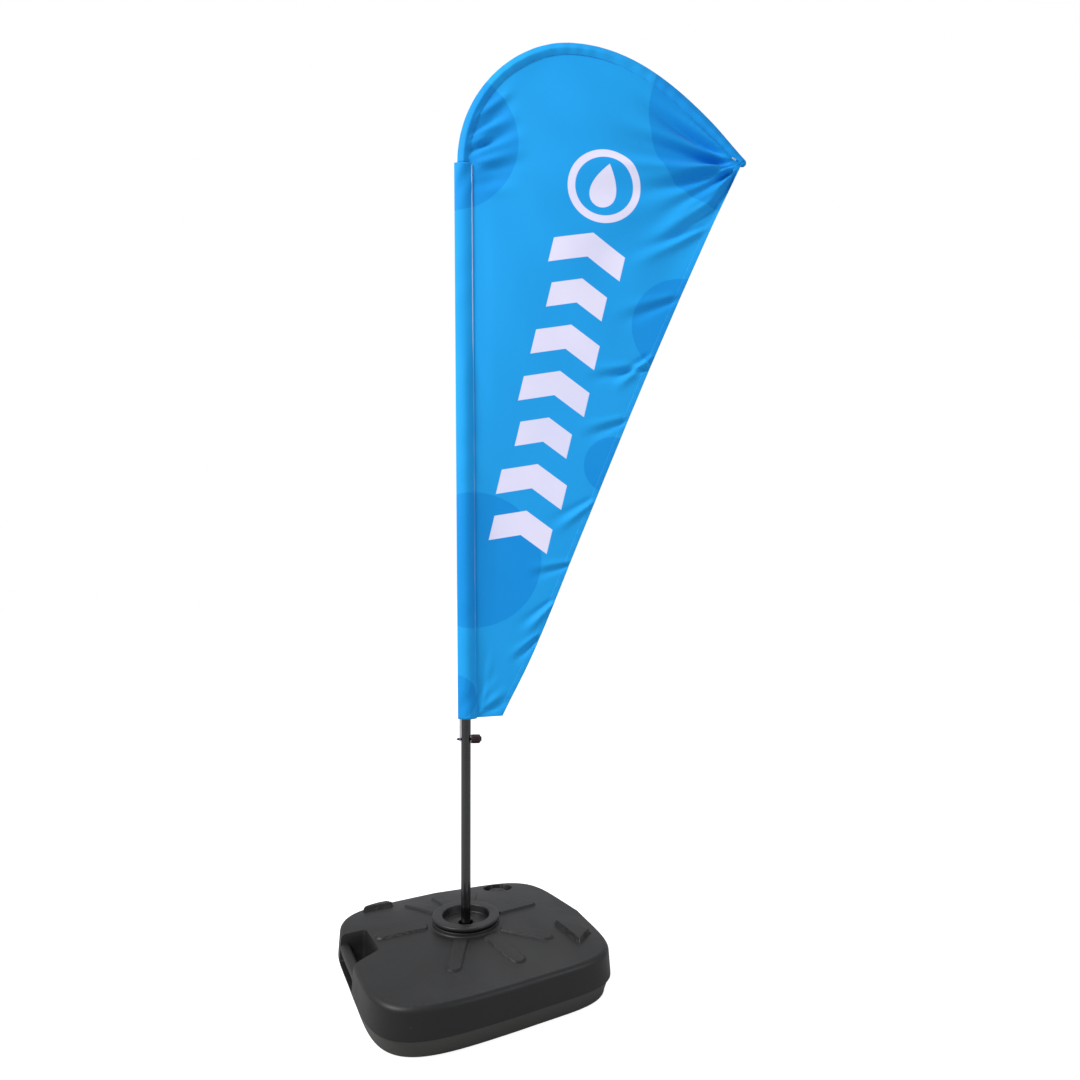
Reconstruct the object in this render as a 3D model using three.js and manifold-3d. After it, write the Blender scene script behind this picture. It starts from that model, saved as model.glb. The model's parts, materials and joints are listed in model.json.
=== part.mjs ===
// Teardrop flag on a water-filled base: a hollow tank with a socket in its middle, a steel spindle
// on bearings that lets the flag turn with the wind, a pole in three sections whose springy end
// bends over, and a sail that is held along the pole by a sleeve and pulled down by an elastic loop.
// Millimetres, +Z up, origin at the middle of the underside, under the pole.
import * as THREE from "three";
import { mergeVertices } from "three/addons/utils/BufferGeometryUtils.js";
import Module from "manifold-3d";

const wasm = await Module();
wasm.setup();

// ---- Driving dimensions -------------------------------------------------------------------------
const SEAT = 0.3; // gap between two pieces that touch

// Tank
const BASE_LENGTH = 510; // along X, between the middles of two sides
const BASE_WIDTH = 470; // along Y
const OUTLINE_SHIFT = 14; // from the pole to the middle of the outline, away from the handle
// How far each corner reaches past a plain rounded square, as shares of its distance, starting
// with the filler's corner and going round anticlockwise.
const CORNER_REACH = [-0.05, -0.03, 0.035, -0.045];
const SQUARENESS = 4.85; // power of the outline's curve: 2 is an ellipse, more is squarer
const ROUND_MARGIN = 12; // past the boss, where the deck's rings start to leave the circle
const SQUARE_MARGIN = 70; // from the tank's sides to where they have the outline's full shape
const DECK_EDGE_Z = 93;
const DECK_CROWN = 23; // rise of the deck from its edge to its middle
const DECK_EDGE_R = 12;
// Where the crowned deck has its rings, as shares of the way from the boss to the deck's edge.
const DECK_RING_SHARES = [0.78, 0.52, 0.28];
const PARTING_Z = 35; // mould parting line round the side
const PARTING_STEP = 2;
const SIDE_DRAFT = 3;
const FOOT_INSET = 11; // taper of the side below the parting line
const FOOT_R = 6;
const UNDER_RELIEF = 4; // hollow ring under the tank, between its middle pad and its rim
const PAD_R = 74;
const RIM_WIDTH = 47;
const WALL = 3;

// Ribs, lug pads, handle and filler of the tank
const RIB_ANGLES = [15, 65, 90, 113, 165, 241, 284, 318];
const RIB_BOSS_GAP = 13; // from the boss to where a rib starts
const RIB_MARGIN = 51; // from a rib's round end to the tank's long sides
const RIB_WIDTH = 28;
const RIB_HEIGHT = 4;
const LUG_HEIGHT = 9;
// Each lug: the middle of its inner wall, the direction it faces away from, its width there and at
// its outer end, and its depth.
const LUGS = [
  { x: -131, y: BASE_WIDTH / 2 - 46, degrees: 83, inner: 64, outer: 40, depth: 30 },
  { x: OUTLINE_SHIFT + BASE_LENGTH / 2 - 92.5, y: -112.5, degrees: 5.6, inner: 92, outer: 14, depth: 53 },
];
const NOTCH_Y = 46; // middle of the handle notch
const NOTCH_DEPTH = 56;
const NOTCH_INNER = 96; // width of the handle notch at its inner wall
const NOTCH_OUTER = 136; // and at the tank's side
const NOTCH_RISE = 3; // from the parting line to the notch's floor
const GRIP_HEIGHT = 22;
const GRIP_WIDTH = 20;
const GRIP_DROP = 30; // from the deck's edge down to the bar's middle
const FILL_INSET_X = 123; // from the tank's sides to the filler's middle
const FILL_INSET_Y = 64;
const FINGER_ROOM = 9; // round the cap, in its recess
const FILL_RECESS_DEPTH = 15;
const NECK_R = 17;
const NECK_WALL = 3;
const NECK_HEIGHT = 8;
const CAP_WALL = 4.7;
const CAP_HEIGHT = 12;
const CAP_TOP = 3;
const CAP_DISH_RIM = 9; // width of the rim round the dished middle of its top
const CAP_DISH = 1;
const CAP_LOBES = 16;
const LOBE_DEPTH = 1.2;
const GASKET_THICK = 1.6;

// Socket in the middle
const BOSS_R = 68;
const BOSS_HEIGHT = 8.5;
const BOSS_FILLET = 3; // at its foot
const BOSS_BEVEL = 2; // at its top edge
const COLLAR_LIP = 1; // overhang of the collar past the boss
const COLLAR_HEIGHT = 8;
const COLLAR_OPENING_R = 48;
const GROOVE_DEPTH = 6; // shadow groove between the collar and the boss
const GROOVE = 2;
const COLLAR_EDGE_R = 3; // rounding of the collar's outer edge
const COLLAR_BEVEL = 2; // at its underside and at its opening
const CUP_DEPTH = 16; // from the collar's top to the recessed floor
const CUP_FLOOR = 4;
const CUP_WALL = 5;
const CUP_HOLE_R = 14.5;
const TUBE_WALL = 3.5;
const TUBE_BOTTOM_Z = 30;
const TUBE_FLOOR = 5;
const WELL_CLEARANCE = 1;
const WELL_FLOOR_Z = 14;

// Spindle, bearings and rotor
const SPINDLE_R = 4;
const SPINDLE_STUB = 12; // above the clip
const SPINDLE_BEVEL = 1.5;
const SHOULDER_R = 9;
const SHOULDER_HEIGHT = 4;
const NUT_R = 8;
const NUT_HEIGHT = 6.5;
const WASHER_R = 10;
const WASHER_THICK = 1.6;
const BEARING_R = 7;
const BEARING_HEIGHT = 4;
const SPACER_WALL = 1.2;
const THRUST_THICK = 2;
const RUNNING = 0.3; // running clearance of what turns
const ROTOR_FLANGE = 3;
const ROTOR_LENGTH = 128;
const ROTOR_BEVEL = 1; // leads the pole on
const CLIP_THICK = 1;
const CLIP_R = 6;

// Pole
const POLE_R = 10;
const POLE_WALL = 1.2;
const POLE_LOWER_TOP_Z = 640;
const POLE_MIDDLE_R = 8;
const POLE_MIDDLE_TOP_Z = 1235;
const ROD_R = 4;
const FERRULE_PLUG = 60; // length of a ferrule inside a tube
const FERRULE_COLLAR = 4;
const FERRULE_LIP = 0.5; // of the lower collar past the middle section
const FERRULE_NECK = 2; // height of the upper collar's taper
const ROD_SOCKET_WALL = 2.2;
const TIP_CAP_LENGTH = 14;
const TIP_CAP_WALL = 1;
const TIP_CAP_ROOM = 1; // from the rod's end to the cap's inside

// Sail
const FLAG_TURN = 21.6; // degrees from the tank's X axis to the sail's plane, clockwise from above
const FOOT_Z = 534;
const STRAIGHT_LENGTH = 1150; // of the straight sleeve, up to where the rod starts to bend
const ARCH_RISE = 250; // from there up to the top of the arch
const ARCH_REACH = 224; // and across to it
const TIP_REACH = 368; // from the top of the arch across to the tip
const TIP_DROP = 226; // and down to it
const SLEEVE_EASE = 9.5; // of the straight sleeve, laid flat, past the pole on each side
const LEAN_FOOT = 3; // the sleeve's middle from the pole's axis, at its foot
const LEAN_TOP = -6; // and at its top, where the sail pulls the rod back
const CURVED_HALF = 13;
const POCKET_CLEARANCE = 0.2; // between the rod's cap and its pocket
const CLOTH = 1.6;
const HEM_WIDTH = 11;
const HEM_THICK = 2.6;
const FOOT_WIDTH = 53; // sail's foot, from the sleeve to the leech
const FOOT_RISE = 5;
const LEECH_TOP_INSET = [14, 20]; // from the tip across and down to the leech's end
const SLEEVE_WALL = 1;
const SLEEVE_CLEARANCE = 0.9;
const TIP_POCKET_LENGTH = 9;

// Elastic and its anchor
const ANCHOR_DROP = 42; // from the sail's foot down to the pin
const PIN_R = 2.5;
const PIN_REACH = 10; // of the pin's point past the pole
const PIN_POINT = 4;
const KNOB_R = 9.2;
const KNOB_LENGTH = 22;
const KNOB_BEVEL = 1; // where it faces the pole
const KNOB_GRIP_LENGTH = 17.6; // of its full-width part
const KNOB_CROWN_R = 7.4;
const KNOB_CROWN_LENGTH = 19.4; // from the pole's side to the crown
const KNOB_NIB_R = 4.8;
const ELASTIC_R = 1.2;
const ELASTIC_GAP = 2; // from the pole's surface to the elastic's middle
const ELASTIC_SPREAD = 1; // from the middle between its two sewn ends to each one's surface
const ELASTIC_SLACK = 0.4; // each strand's gap to the hook's width as it leaves the hook
const HOOK_LENGTH = 14; // from the pin's middle up to where the strands leave the hook
const SEWN_LENGTH = 12; // of the elastic inside the sleeve's mouth

// ---- Materials ----------------------------------------------------------------------------------
const finish = (color, roughness, metalness) =>
  new THREE.MeshStandardMaterial({ color, roughness, metalness });
const tankPlastic = finish(0x2b2b2c, 0.55, 0);
const blackPlastic = finish(0x151617, 0.5, 0);
const knobPlastic = finish(0x1d1516, 0.45, 0);
const rubber = finish(0x101010, 0.85, 0);
const steel = finish(0xa8abb0, 0.35, 1);
const blackTube = finish(0x111214, 0.28, 0.2);
const fibreglass = finish(0x1b1b1d, 0.4, 0);
const cloth = finish(0x1f96ef, 0.75, 0);
const elastic = finish(0x8a86a0, 0.8, 0);

// ---- Making and joining solids ------------------------------------------------------------------
// A closed three.js geometry as a solid that can be joined and cut.
function solid(geometry) {
  const bare = geometry.clone();
  bare.deleteAttribute("normal");
  bare.deleteAttribute("uv");
  const merged = mergeVertices(bare, 1e-4);
  return new wasm.Manifold(
    new wasm.Mesh({
      numProp: 3,
      vertProperties: merged.attributes.position.array,
      triVerts: new Uint32Array(merged.index.array),
    }),
  );
}

function geometryOf(made) {
  const mesh = made.getMesh();
  const geometry = new THREE.BufferGeometry();
  geometry.setAttribute("position", new THREE.BufferAttribute(mesh.vertProperties, 3));
  geometry.setIndex(new THREE.BufferAttribute(mesh.triVerts, 1));
  geometry.computeVertexNormals();
  return geometry;
}

// A profile of [radius, height] pairs, anticlockwise with the axis on its left, turned about Z.
function turned(profile, sides = 32) {
  const points = profile.map(([r, z]) => new THREE.Vector2(r, z));
  return new THREE.LatheGeometry(points, sides).rotateX(Math.PI / 2);
}

const bar = (radius, low, high, sides) =>
  turned([[0, low], [radius, low], [radius, high], [0, high]], sides);

const ring = (inner, outer, low, high, sides) =>
  turned([[inner, low], [outer, low], [outer, high], [inner, high], [inner, low]], sides);

// An outline in X and Y, raised from one height to another.
function prism(outline, low, high, curveSegments = 6) {
  const options = { depth: high - low, bevelEnabled: false, curveSegments };
  return new THREE.ExtrudeGeometry(outline, options).translate(0, 0, low);
}

// An outline in X and Z, as thick as a sheet, with the sheet's middle at Y = 0.
function sheet(outline, thickness) {
  const options = { depth: thickness, bevelEnabled: false, curveSegments: 8 };
  return new THREE.ExtrudeGeometry(outline, options)
    .rotateX(Math.PI / 2)
    .translate(0, thickness / 2, 0);
}

const polygon = (points) => new THREE.Shape(points.map(([x, y]) => new THREE.Vector2(x, y)));

const assembly = new THREE.Group();
const flagGroup = new THREE.Group(); // what turns with the sail
flagGroup.rotation.z = -THREE.MathUtils.degToRad(FLAG_TURN);
assembly.add(flagGroup);

function place(name, geometry, material, group = assembly) {
  const mesh = new THREE.Mesh(geometry, material);
  mesh.name = name;
  group.add(mesh);
}

// ---- Tank ---------------------------------------------------------------------------------------
const halfLength = BASE_LENGTH / 2;
const deckRimR = halfLength - SIDE_DRAFT - DECK_EDGE_R; // where the deck meets its rounded edge
const deckZ = (r) => DECK_EDGE_Z + DECK_CROWN * (1 - (r / deckRimR) ** 2);

// The heights and radii of the stack in the tank's middle, from the deck up.
const bossTopZ = deckZ(BOSS_R) + BOSS_HEIGHT;
const collarLowZ = bossTopZ + SEAT + GROOVE;
const collarTopZ = collarLowZ + COLLAR_HEIGHT;
const cupFloorZ = collarTopZ - CUP_DEPTH;
const cupR = COLLAR_OPENING_R + CUP_WALL;
const tubeBoreR = CUP_HOLE_R + RUNNING;
const tubeR = tubeBoreR + TUBE_WALL;
const recessR = cupR + WELL_CLEARANCE;
const recessZ = cupFloorZ - CUP_FLOOR - SEAT;
const wellR = tubeR + WELL_CLEARANCE;

// The tank's parts are turned first, and then every ring beyond the round middle is stretched from
// a circle to a rounded square: its radius grows by the outline's own radius in that direction,
// and its middle moves away from the handle.
const roundR = BOSS_R + ROUND_MARGIN;
const squareR = halfLength - SQUARE_MARGIN;
function stretch(direction) {
  const across = Math.abs(Math.cos(direction)) ** SQUARENESS;
  const along = Math.abs((Math.sin(direction) * BASE_LENGTH) / BASE_WIDTH) ** SQUARENESS;
  const drawn = CORNER_REACH.reduce((sum, reach, corner) => {
    const apart = direction - (Math.PI / 4) * (2 * corner + 1);
    return Math.cos(apart) > 0 ? sum + reach * Math.max(Math.cos(2 * apart), 0) : sum;
  }, 1);
  return drawn * (across + along) ** (-1 / SQUARENESS);
}
function squareOff(geometry) {
  const points = geometry.attributes.position;
  for (let i = 0; i < points.count; i++) {
    const x = points.getX(i);
    const y = points.getY(i);
    const share = THREE.MathUtils.smoothstep(Math.hypot(x, y), roundR, squareR);
    const factor = 1 + share * (stretch(Math.atan2(y, x)) - 1);
    points.setXY(i, x * factor + share * OUTLINE_SHIFT, y * factor);
  }
  return geometry;
}

// A quarter round of a profile, from its low end to its high end.
function quarter(cornerR, cornerZ, radius, fromDegrees, steps = 3) {
  return Array.from({ length: steps + 1 }, (_, i) => {
    const turn = THREE.MathUtils.degToRad(fromDegrees + (90 * i) / steps);
    return [cornerR + radius * Math.cos(turn), cornerZ + radius * Math.sin(turn)];
  });
}

const TANK_SIDES = 56;
const deckStations = DECK_RING_SHARES.map((share) => BOSS_R + share * (deckRimR - BOSS_R));
const footR = halfLength - FOOT_INSET;
const rimR = footR - RIM_WIDTH;
function tankOutside() {
  const profile = [
    [0, 0],
    [PAD_R, 0],
    [PAD_R + UNDER_RELIEF, UNDER_RELIEF],
    [rimR - UNDER_RELIEF, UNDER_RELIEF],
    [rimR, 0],
    ...quarter(footR - FOOT_R, FOOT_R, FOOT_R, -90),
    [halfLength - PARTING_STEP, PARTING_Z],
    [halfLength, PARTING_Z + PARTING_STEP],
    ...quarter(deckRimR, DECK_EDGE_Z - DECK_EDGE_R, DECK_EDGE_R, 0),
    ...deckStations.map((r) => [r, deckZ(r)]),
    [BOSS_R + BOSS_FILLET, deckZ(BOSS_R)],
    [BOSS_R, deckZ(BOSS_R) + BOSS_FILLET],
    [BOSS_R, bossTopZ - BOSS_BEVEL],
    [BOSS_R - BOSS_BEVEL, bossTopZ],
    [recessR, bossTopZ],
    [recessR, recessZ],
    [wellR, recessZ],
    [wellR, WELL_FLOOR_Z],
    [0, WELL_FLOOR_Z],
  ];
  return solid(squareOff(turned(profile, TANK_SIDES)));
}

// The space for water, a wall's thickness inside the tank all round.
function tankInside() {
  const floorZ = UNDER_RELIEF + WALL;
  const profile = [
    [wellR + WALL, floorZ],
    [footR - WALL - FOOT_R / 2, floorZ],
    [footR - WALL, floorZ + FOOT_R],
    [halfLength - PARTING_STEP - WALL, PARTING_Z],
    [halfLength - SIDE_DRAFT - WALL, DECK_EDGE_Z - DECK_EDGE_R],
    [deckRimR, DECK_EDGE_Z - WALL],
    ...deckStations.map((r) => [r, deckZ(r) - WALL]),
    [recessR + WALL, deckZ(BOSS_R) - WALL],
    [recessR + WALL, recessZ - WALL],
    [wellR + WALL, recessZ - WALL],
    [wellR + WALL, floorZ],
  ];
  return solid(squareOff(turned(profile, TANK_SIDES)));
}

// A raised rib: a tongue from the collar outwards with a round end.
function ribOutline() {
  const half = RIB_WIDTH / 2;
  const start = BOSS_R + RIB_BOSS_GAP;
  const end = BASE_WIDTH / 2 - RIB_MARGIN - half;
  const outline = new THREE.Shape();
  outline.moveTo(start, -half);
  outline.lineTo(end, -half);
  outline.absarc(end, 0, half, -Math.PI / 2, Math.PI / 2);
  outline.lineTo(start, half);
  return outline;
}

function lugOutline(lug) {
  return polygon([
    [0, -lug.inner / 2],
    [lug.depth, -lug.outer / 2],
    [lug.depth, lug.outer / 2],
    [0, lug.inner / 2],
  ]);
}

// The handle notch in the side that faces -X, grown by a margin for the wall round it.
const handleSideX = OUTLINE_SHIFT - halfLength;
function notch(margin) {
  const inner = NOTCH_INNER / 2 + margin;
  const outer = NOTCH_OUTER / 2 + margin;
  const innerX = handleSideX + NOTCH_DEPTH + margin;
  const outline = polygon([
    [handleSideX - WALL, NOTCH_Y - outer],
    [innerX, NOTCH_Y - inner],
    [innerX, NOTCH_Y + inner],
    [handleSideX - WALL, NOTCH_Y + outer],
  ]);
  return solid(prism(outline, PARTING_Z + NOTCH_RISE - margin, collarTopZ));
}

// The bar across the notch that a hand lifts by.
function gripBar() {
  const outline = new THREE.Shape();
  const round = GRIP_WIDTH / 2;
  const straight = (GRIP_HEIGHT - GRIP_WIDTH) / 2;
  outline.absarc(0, straight, round, 0, Math.PI);
  outline.absarc(0, -straight, round, Math.PI, 2 * Math.PI);
  const length = NOTCH_OUTER + 2 * WALL;
  const rod = prism(outline, -length / 2, length / 2).rotateX(Math.PI / 2);
  return solid(rod.translate(handleSideX + SIDE_DRAFT + round, NOTCH_Y, DECK_EDGE_Z - GRIP_DROP));
}

const fillX = OUTLINE_SHIFT + halfLength - FILL_INSET_X;
const fillY = BASE_WIDTH / 2 - FILL_INSET_Y;
const fillFloorZ = DECK_EDGE_Z - FILL_RECESS_DEPTH;
const neckTopZ = fillFloorZ + NECK_HEIGHT;
const neckBoreR = NECK_R - NECK_WALL;
const capR = NECK_R + SEAT + CAP_WALL;
const fillRecessR = capR + FINGER_ROOM;
const atFiller = (geometry) => geometry.translate(fillX, fillY, 0);

function tank() {
  const outside = tankOutside();
  const raised = (height) => outside.translate(0, 0, height);
  const low = PARTING_Z;
  let made = outside;
  for (const angle of RIB_ANGLES) {
    const rib = prism(ribOutline(), low, collarTopZ).rotateZ(THREE.MathUtils.degToRad(angle));
    made = made.add(solid(rib).intersect(raised(RIB_HEIGHT)));
  }
  for (const lug of LUGS) {
    const block = prism(lugOutline(lug), low, collarTopZ)
      .rotateZ(THREE.MathUtils.degToRad(lug.degrees))
      .translate(lug.x, lug.y, 0);
    made = made.add(solid(block).intersect(raised(LUG_HEIGHT)));
  }
  made = made.subtract(notch(0)).add(gripBar().intersect(outside));
  made = made.subtract(solid(atFiller(bar(fillRecessR, fillFloorZ, collarTopZ))));
  made = made.add(solid(atFiller(bar(NECK_R, fillFloorZ - WALL, neckTopZ))));
  const aroundFiller = solid(atFiller(bar(fillRecessR + WALL, fillFloorZ - WALL, collarTopZ)));
  made = made.subtract(tankInside().subtract(notch(WALL)).subtract(aroundFiller));
  return made.subtract(solid(atFiller(bar(neckBoreR, PARTING_Z, neckTopZ + WALL))));
}
place("base_tank", geometryOf(tank()), tankPlastic);

// ---- Filler cap ---------------------------------------------------------------------------------
const gasketTopZ = neckTopZ + SEAT + GASKET_THICK;
place(
  "fill_gasket",
  atFiller(ring(neckBoreR, NECK_R - SEAT, neckTopZ + SEAT, gasketTopZ, 24)),
  rubber,
);

// A lobed knob of a cap: its outline waves once for each lobe.
function capOutline() {
  const steps = CAP_LOBES * 4;
  const points = Array.from({ length: steps }, (_, i) => {
    const turn = (2 * Math.PI * i) / steps;
    const radius = capR - (LOBE_DEPTH / 2) * (1 - Math.cos(CAP_LOBES * turn));
    return [radius * Math.cos(turn), radius * Math.sin(turn)];
  });
  return polygon(points);
}
function fillCap() {
  const topZ = gasketTopZ + SEAT + CAP_TOP;
  const body = solid(prism(capOutline(), topZ - CAP_HEIGHT, topZ));
  const skirt = solid(bar(NECK_R + SEAT, topZ - 2 * CAP_HEIGHT, gasketTopZ + SEAT));
  const dish = solid(bar(capR - CAP_DISH_RIM, topZ - CAP_DISH, topZ + CAP_DISH));
  return body.subtract(skirt).subtract(dish);
}
place("fill_cap", atFiller(geometryOf(fillCap())), blackPlastic);

// ---- Socket insert ------------------------------------------------------------------------------
// One moulding: the collar that stands on the boss, the cup in it, and the tube in the well.
function socketInsert() {
  const lowZ = bossTopZ + SEAT;
  const collarR = BOSS_R + COLLAR_LIP;
  const profile = [
    [tubeR, TUBE_BOTTOM_Z],
    [tubeR, cupFloorZ - CUP_FLOOR],
    [cupR, cupFloorZ - CUP_FLOOR],
    [cupR, lowZ],
    [collarR - GROOVE_DEPTH, lowZ],
    [collarR - GROOVE_DEPTH, collarLowZ],
    [collarR - COLLAR_BEVEL, collarLowZ],
    [collarR, collarLowZ + COLLAR_BEVEL],
    ...quarter(collarR - COLLAR_EDGE_R, collarTopZ - COLLAR_EDGE_R, COLLAR_EDGE_R, 0, 2),
    ...quarter(COLLAR_OPENING_R + COLLAR_BEVEL, collarTopZ - COLLAR_BEVEL, COLLAR_BEVEL, 90, 1),
    [COLLAR_OPENING_R, cupFloorZ],
    [CUP_HOLE_R, cupFloorZ],
    [tubeBoreR, cupFloorZ - RUNNING],
    [tubeBoreR, TUBE_BOTTOM_Z + TUBE_FLOOR],
    [SPINDLE_R + SEAT, TUBE_BOTTOM_Z + TUBE_FLOOR],
    [SPINDLE_R + SEAT, TUBE_BOTTOM_Z],
    [tubeR, TUBE_BOTTOM_Z],
  ];
  return turned(profile, 36);
}
place("socket_insert", socketInsert(), blackPlastic);

// ---- Spindle and bearings -----------------------------------------------------------------------
const washerTopZ = TUBE_BOTTOM_Z - SEAT;
const nutTopZ = washerTopZ - WASHER_THICK - SEAT;
const shoulderZ = TUBE_BOTTOM_Z + TUBE_FLOOR + SEAT;
const thrustZ = shoulderZ + SHOULDER_HEIGHT + SEAT;
const rotorZ = thrustZ + THRUST_THICK + SEAT;
const lowerBearingZ = rotorZ + ROTOR_FLANGE;
const rotorTopZ = rotorZ + ROTOR_FLANGE + ROTOR_LENGTH;
const upperBearingZ = rotorTopZ - BEARING_HEIGHT;
const clipZ = rotorTopZ + SEAT;
const spindleTopZ = clipZ + CLIP_THICK + SPINDLE_STUB;

place(
  "spindle",
  turned(
    [
      [0, nutTopZ - NUT_HEIGHT],
      [SPINDLE_R, nutTopZ - NUT_HEIGHT],
      [SPINDLE_R, shoulderZ],
      [SHOULDER_R, shoulderZ],
      [SHOULDER_R, shoulderZ + SHOULDER_HEIGHT],
      [SPINDLE_R, shoulderZ + SHOULDER_HEIGHT],
      [SPINDLE_R, spindleTopZ - SPINDLE_BEVEL],
      [SPINDLE_R - SPINDLE_BEVEL, spindleTopZ],
      [0, spindleTopZ],
    ],
    16,
  ),
  steel,
);

// A ring that slides on the spindle.
const onSpindle = (outer, low, height) => ring(SPINDLE_R + SEAT, outer, low, low + height, 16);
place("spindle_washer", onSpindle(WASHER_R, washerTopZ - WASHER_THICK, WASHER_THICK), steel);

function hexNut() {
  const outline = polygon(
    Array.from({ length: 6 }, (_, i) => [
      NUT_R * Math.cos((i * Math.PI) / 3),
      NUT_R * Math.sin((i * Math.PI) / 3),
    ]),
  );
  const body = solid(prism(outline, nutTopZ - NUT_HEIGHT, nutTopZ));
  return body.subtract(solid(bar(SPINDLE_R + SEAT, 0, TUBE_BOTTOM_Z, 16)));
}
place("spindle_nut", geometryOf(hexNut()), steel);
place("thrust_washer", onSpindle(SHOULDER_R, thrustZ, THRUST_THICK), steel);
place("lower_bearing", onSpindle(BEARING_R, lowerBearingZ, BEARING_HEIGHT), steel);
place("upper_bearing", onSpindle(BEARING_R, upperBearingZ, BEARING_HEIGHT), steel);
const spacerZ = lowerBearingZ + BEARING_HEIGHT + SEAT;
const spacerR = SPINDLE_R + SEAT + SPACER_WALL;
place("bearing_spacer", onSpindle(spacerR, spacerZ, upperBearingZ - SEAT - spacerZ), steel);
place("retaining_clip", onSpindle(CLIP_R, clipZ, CLIP_THICK), steel);

// The sleeve that turns on the bearings. The pole drops over it and rests on its flange.
const poleBoreR = POLE_R - POLE_WALL;
const rotorR = poleBoreR - SEAT;
function rotorSleeve() {
  const profile = [
    [SPINDLE_R + RUNNING, rotorZ],
    [POLE_R, rotorZ],
    [POLE_R, rotorZ + ROTOR_FLANGE],
    [rotorR, rotorZ + ROTOR_FLANGE],
    [rotorR, rotorTopZ - ROTOR_BEVEL],
    [rotorR - ROTOR_BEVEL, rotorTopZ],
    [BEARING_R + RUNNING, rotorTopZ],
    [BEARING_R + RUNNING, lowerBearingZ - SEAT],
    [SPINDLE_R + RUNNING, lowerBearingZ - SEAT],
    [SPINDLE_R + RUNNING, rotorZ],
  ];
  return turned(profile, 28);
}
place("rotor_sleeve", rotorSleeve(), blackPlastic, flagGroup);

// ---- Pole ---------------------------------------------------------------------------------------
const poleFootZ = rotorZ + ROTOR_FLANGE + SEAT;
const anchorZ = FOOT_Z - ANCHOR_DROP;
const pinHole = solid(bar(PIN_R + SEAT, -3 * POLE_R, 3 * POLE_R, 16).rotateY(Math.PI / 2));
const poleLower = solid(ring(poleBoreR, POLE_R, poleFootZ, POLE_LOWER_TOP_Z, 28));
place(
  "pole_lower",
  geometryOf(poleLower.subtract(pinHole.translate(0, 0, anchorZ))),
  blackTube,
  flagGroup,
);

// A stepped plug that joins two sections, with a collar between their ends.
const middleBoreR = POLE_MIDDLE_R - POLE_WALL;
const middleFootZ = POLE_LOWER_TOP_Z + SEAT + FERRULE_COLLAR + SEAT;
function ferruleLower() {
  const collarZ = POLE_LOWER_TOP_Z + SEAT;
  const lowR = poleBoreR - SEAT;
  const highR = middleBoreR - SEAT;
  const profile = [
    [0, collarZ - FERRULE_PLUG],
    [lowR, collarZ - FERRULE_PLUG],
    [lowR, collarZ],
    [POLE_R, collarZ],
    [POLE_MIDDLE_R + FERRULE_LIP, collarZ + FERRULE_COLLAR],
    [highR, collarZ + FERRULE_COLLAR],
    [highR, middleFootZ + FERRULE_PLUG],
    [0, middleFootZ + FERRULE_PLUG],
  ];
  return turned(profile, 24);
}
place("ferrule_lower", ferruleLower(), blackPlastic, flagGroup);
place(
  "pole_middle",
  ring(middleBoreR, POLE_MIDDLE_R, middleFootZ, POLE_MIDDLE_TOP_Z, 28),
  blackTube,
  flagGroup,
);

// The plug in the middle section's top, with a socket for the springy rod.
const rodSocketZ = POLE_MIDDLE_TOP_Z - FERRULE_PLUG;
function ferruleUpper() {
  const collarZ = POLE_MIDDLE_TOP_Z + SEAT;
  const plugR = middleBoreR - SEAT;
  const boreR = ROD_R + SEAT;
  const neckR = boreR + ROD_SOCKET_WALL;
  const profile = [
    [0, rodSocketZ - FERRULE_COLLAR],
    [plugR, rodSocketZ - FERRULE_COLLAR],
    [plugR, collarZ],
    [POLE_MIDDLE_R, collarZ],
    [POLE_MIDDLE_R, collarZ + FERRULE_COLLAR],
    [neckR, collarZ + FERRULE_COLLAR + FERRULE_NECK],
    [neckR, collarZ + FERRULE_PLUG / 2],
    [boreR, collarZ + FERRULE_PLUG / 2],
    [boreR, rodSocketZ],
    [0, rodSocketZ],
  ];
  return turned(profile, 24);
}
place("ferrule_upper", ferruleUpper(), blackPlastic, flagGroup);

// The bend of the rod, as two curves that meet level at the top of the arch. Each curve's two
// handles are shares of its own rise and reach.
const point = (x, z) => new THREE.Vector3(x, 0, z);
const straightTopZ = FOOT_Z + STRAIGHT_LENGTH;
const archTopZ = straightTopZ + ARCH_RISE;
const archTopX = LEAN_TOP + ARCH_REACH;
const tipX = archTopX + TIP_REACH;
const tipZ = archTopZ - TIP_DROP;
const archStartZ = straightTopZ + SEAT;
const RISE_SHARE = 0.57;
const LEVEL_SHARE = 0.5;
const AFTER_TOP_SHARE = 0.42;
const BEFORE_TIP_SHARES = [0.71, 0.48];
function archCurves() {
  const [across, up] = BEFORE_TIP_SHARES;
  return [
    new THREE.CubicBezierCurve3(
      point(LEAN_TOP, archStartZ),
      point(LEAN_TOP, archStartZ + RISE_SHARE * (archTopZ - archStartZ)),
      point(LEAN_TOP + LEVEL_SHARE * ARCH_REACH, archTopZ),
      point(archTopX, archTopZ),
    ),
    new THREE.CubicBezierCurve3(
      point(archTopX, archTopZ),
      point(archTopX + AFTER_TOP_SHARE * TIP_REACH, archTopZ),
      point(archTopX + across * TIP_REACH, tipZ + up * TIP_DROP),
      point(tipX, tipZ),
    ),
  ];
}
const arch = new THREE.CurvePath();
archCurves().forEach((curve) => arch.add(curve));

// A round section, or an oval one, for a tube along a curve in the sail's plane.
function oval(thick, wide, sides) {
  const points = Array.from({ length: sides }, (_, i) => {
    const turn = (2 * Math.PI * (i + 0.5)) / sides;
    return [thick * Math.cos(turn), wide * Math.sin(turn)];
  });
  return polygon(points);
}
function along(curve, section, steps) {
  const options = { extrudePath: curve, steps, bevelEnabled: false, curveSegments: 1 };
  return new THREE.ExtrudeGeometry(section, options);
}

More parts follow.
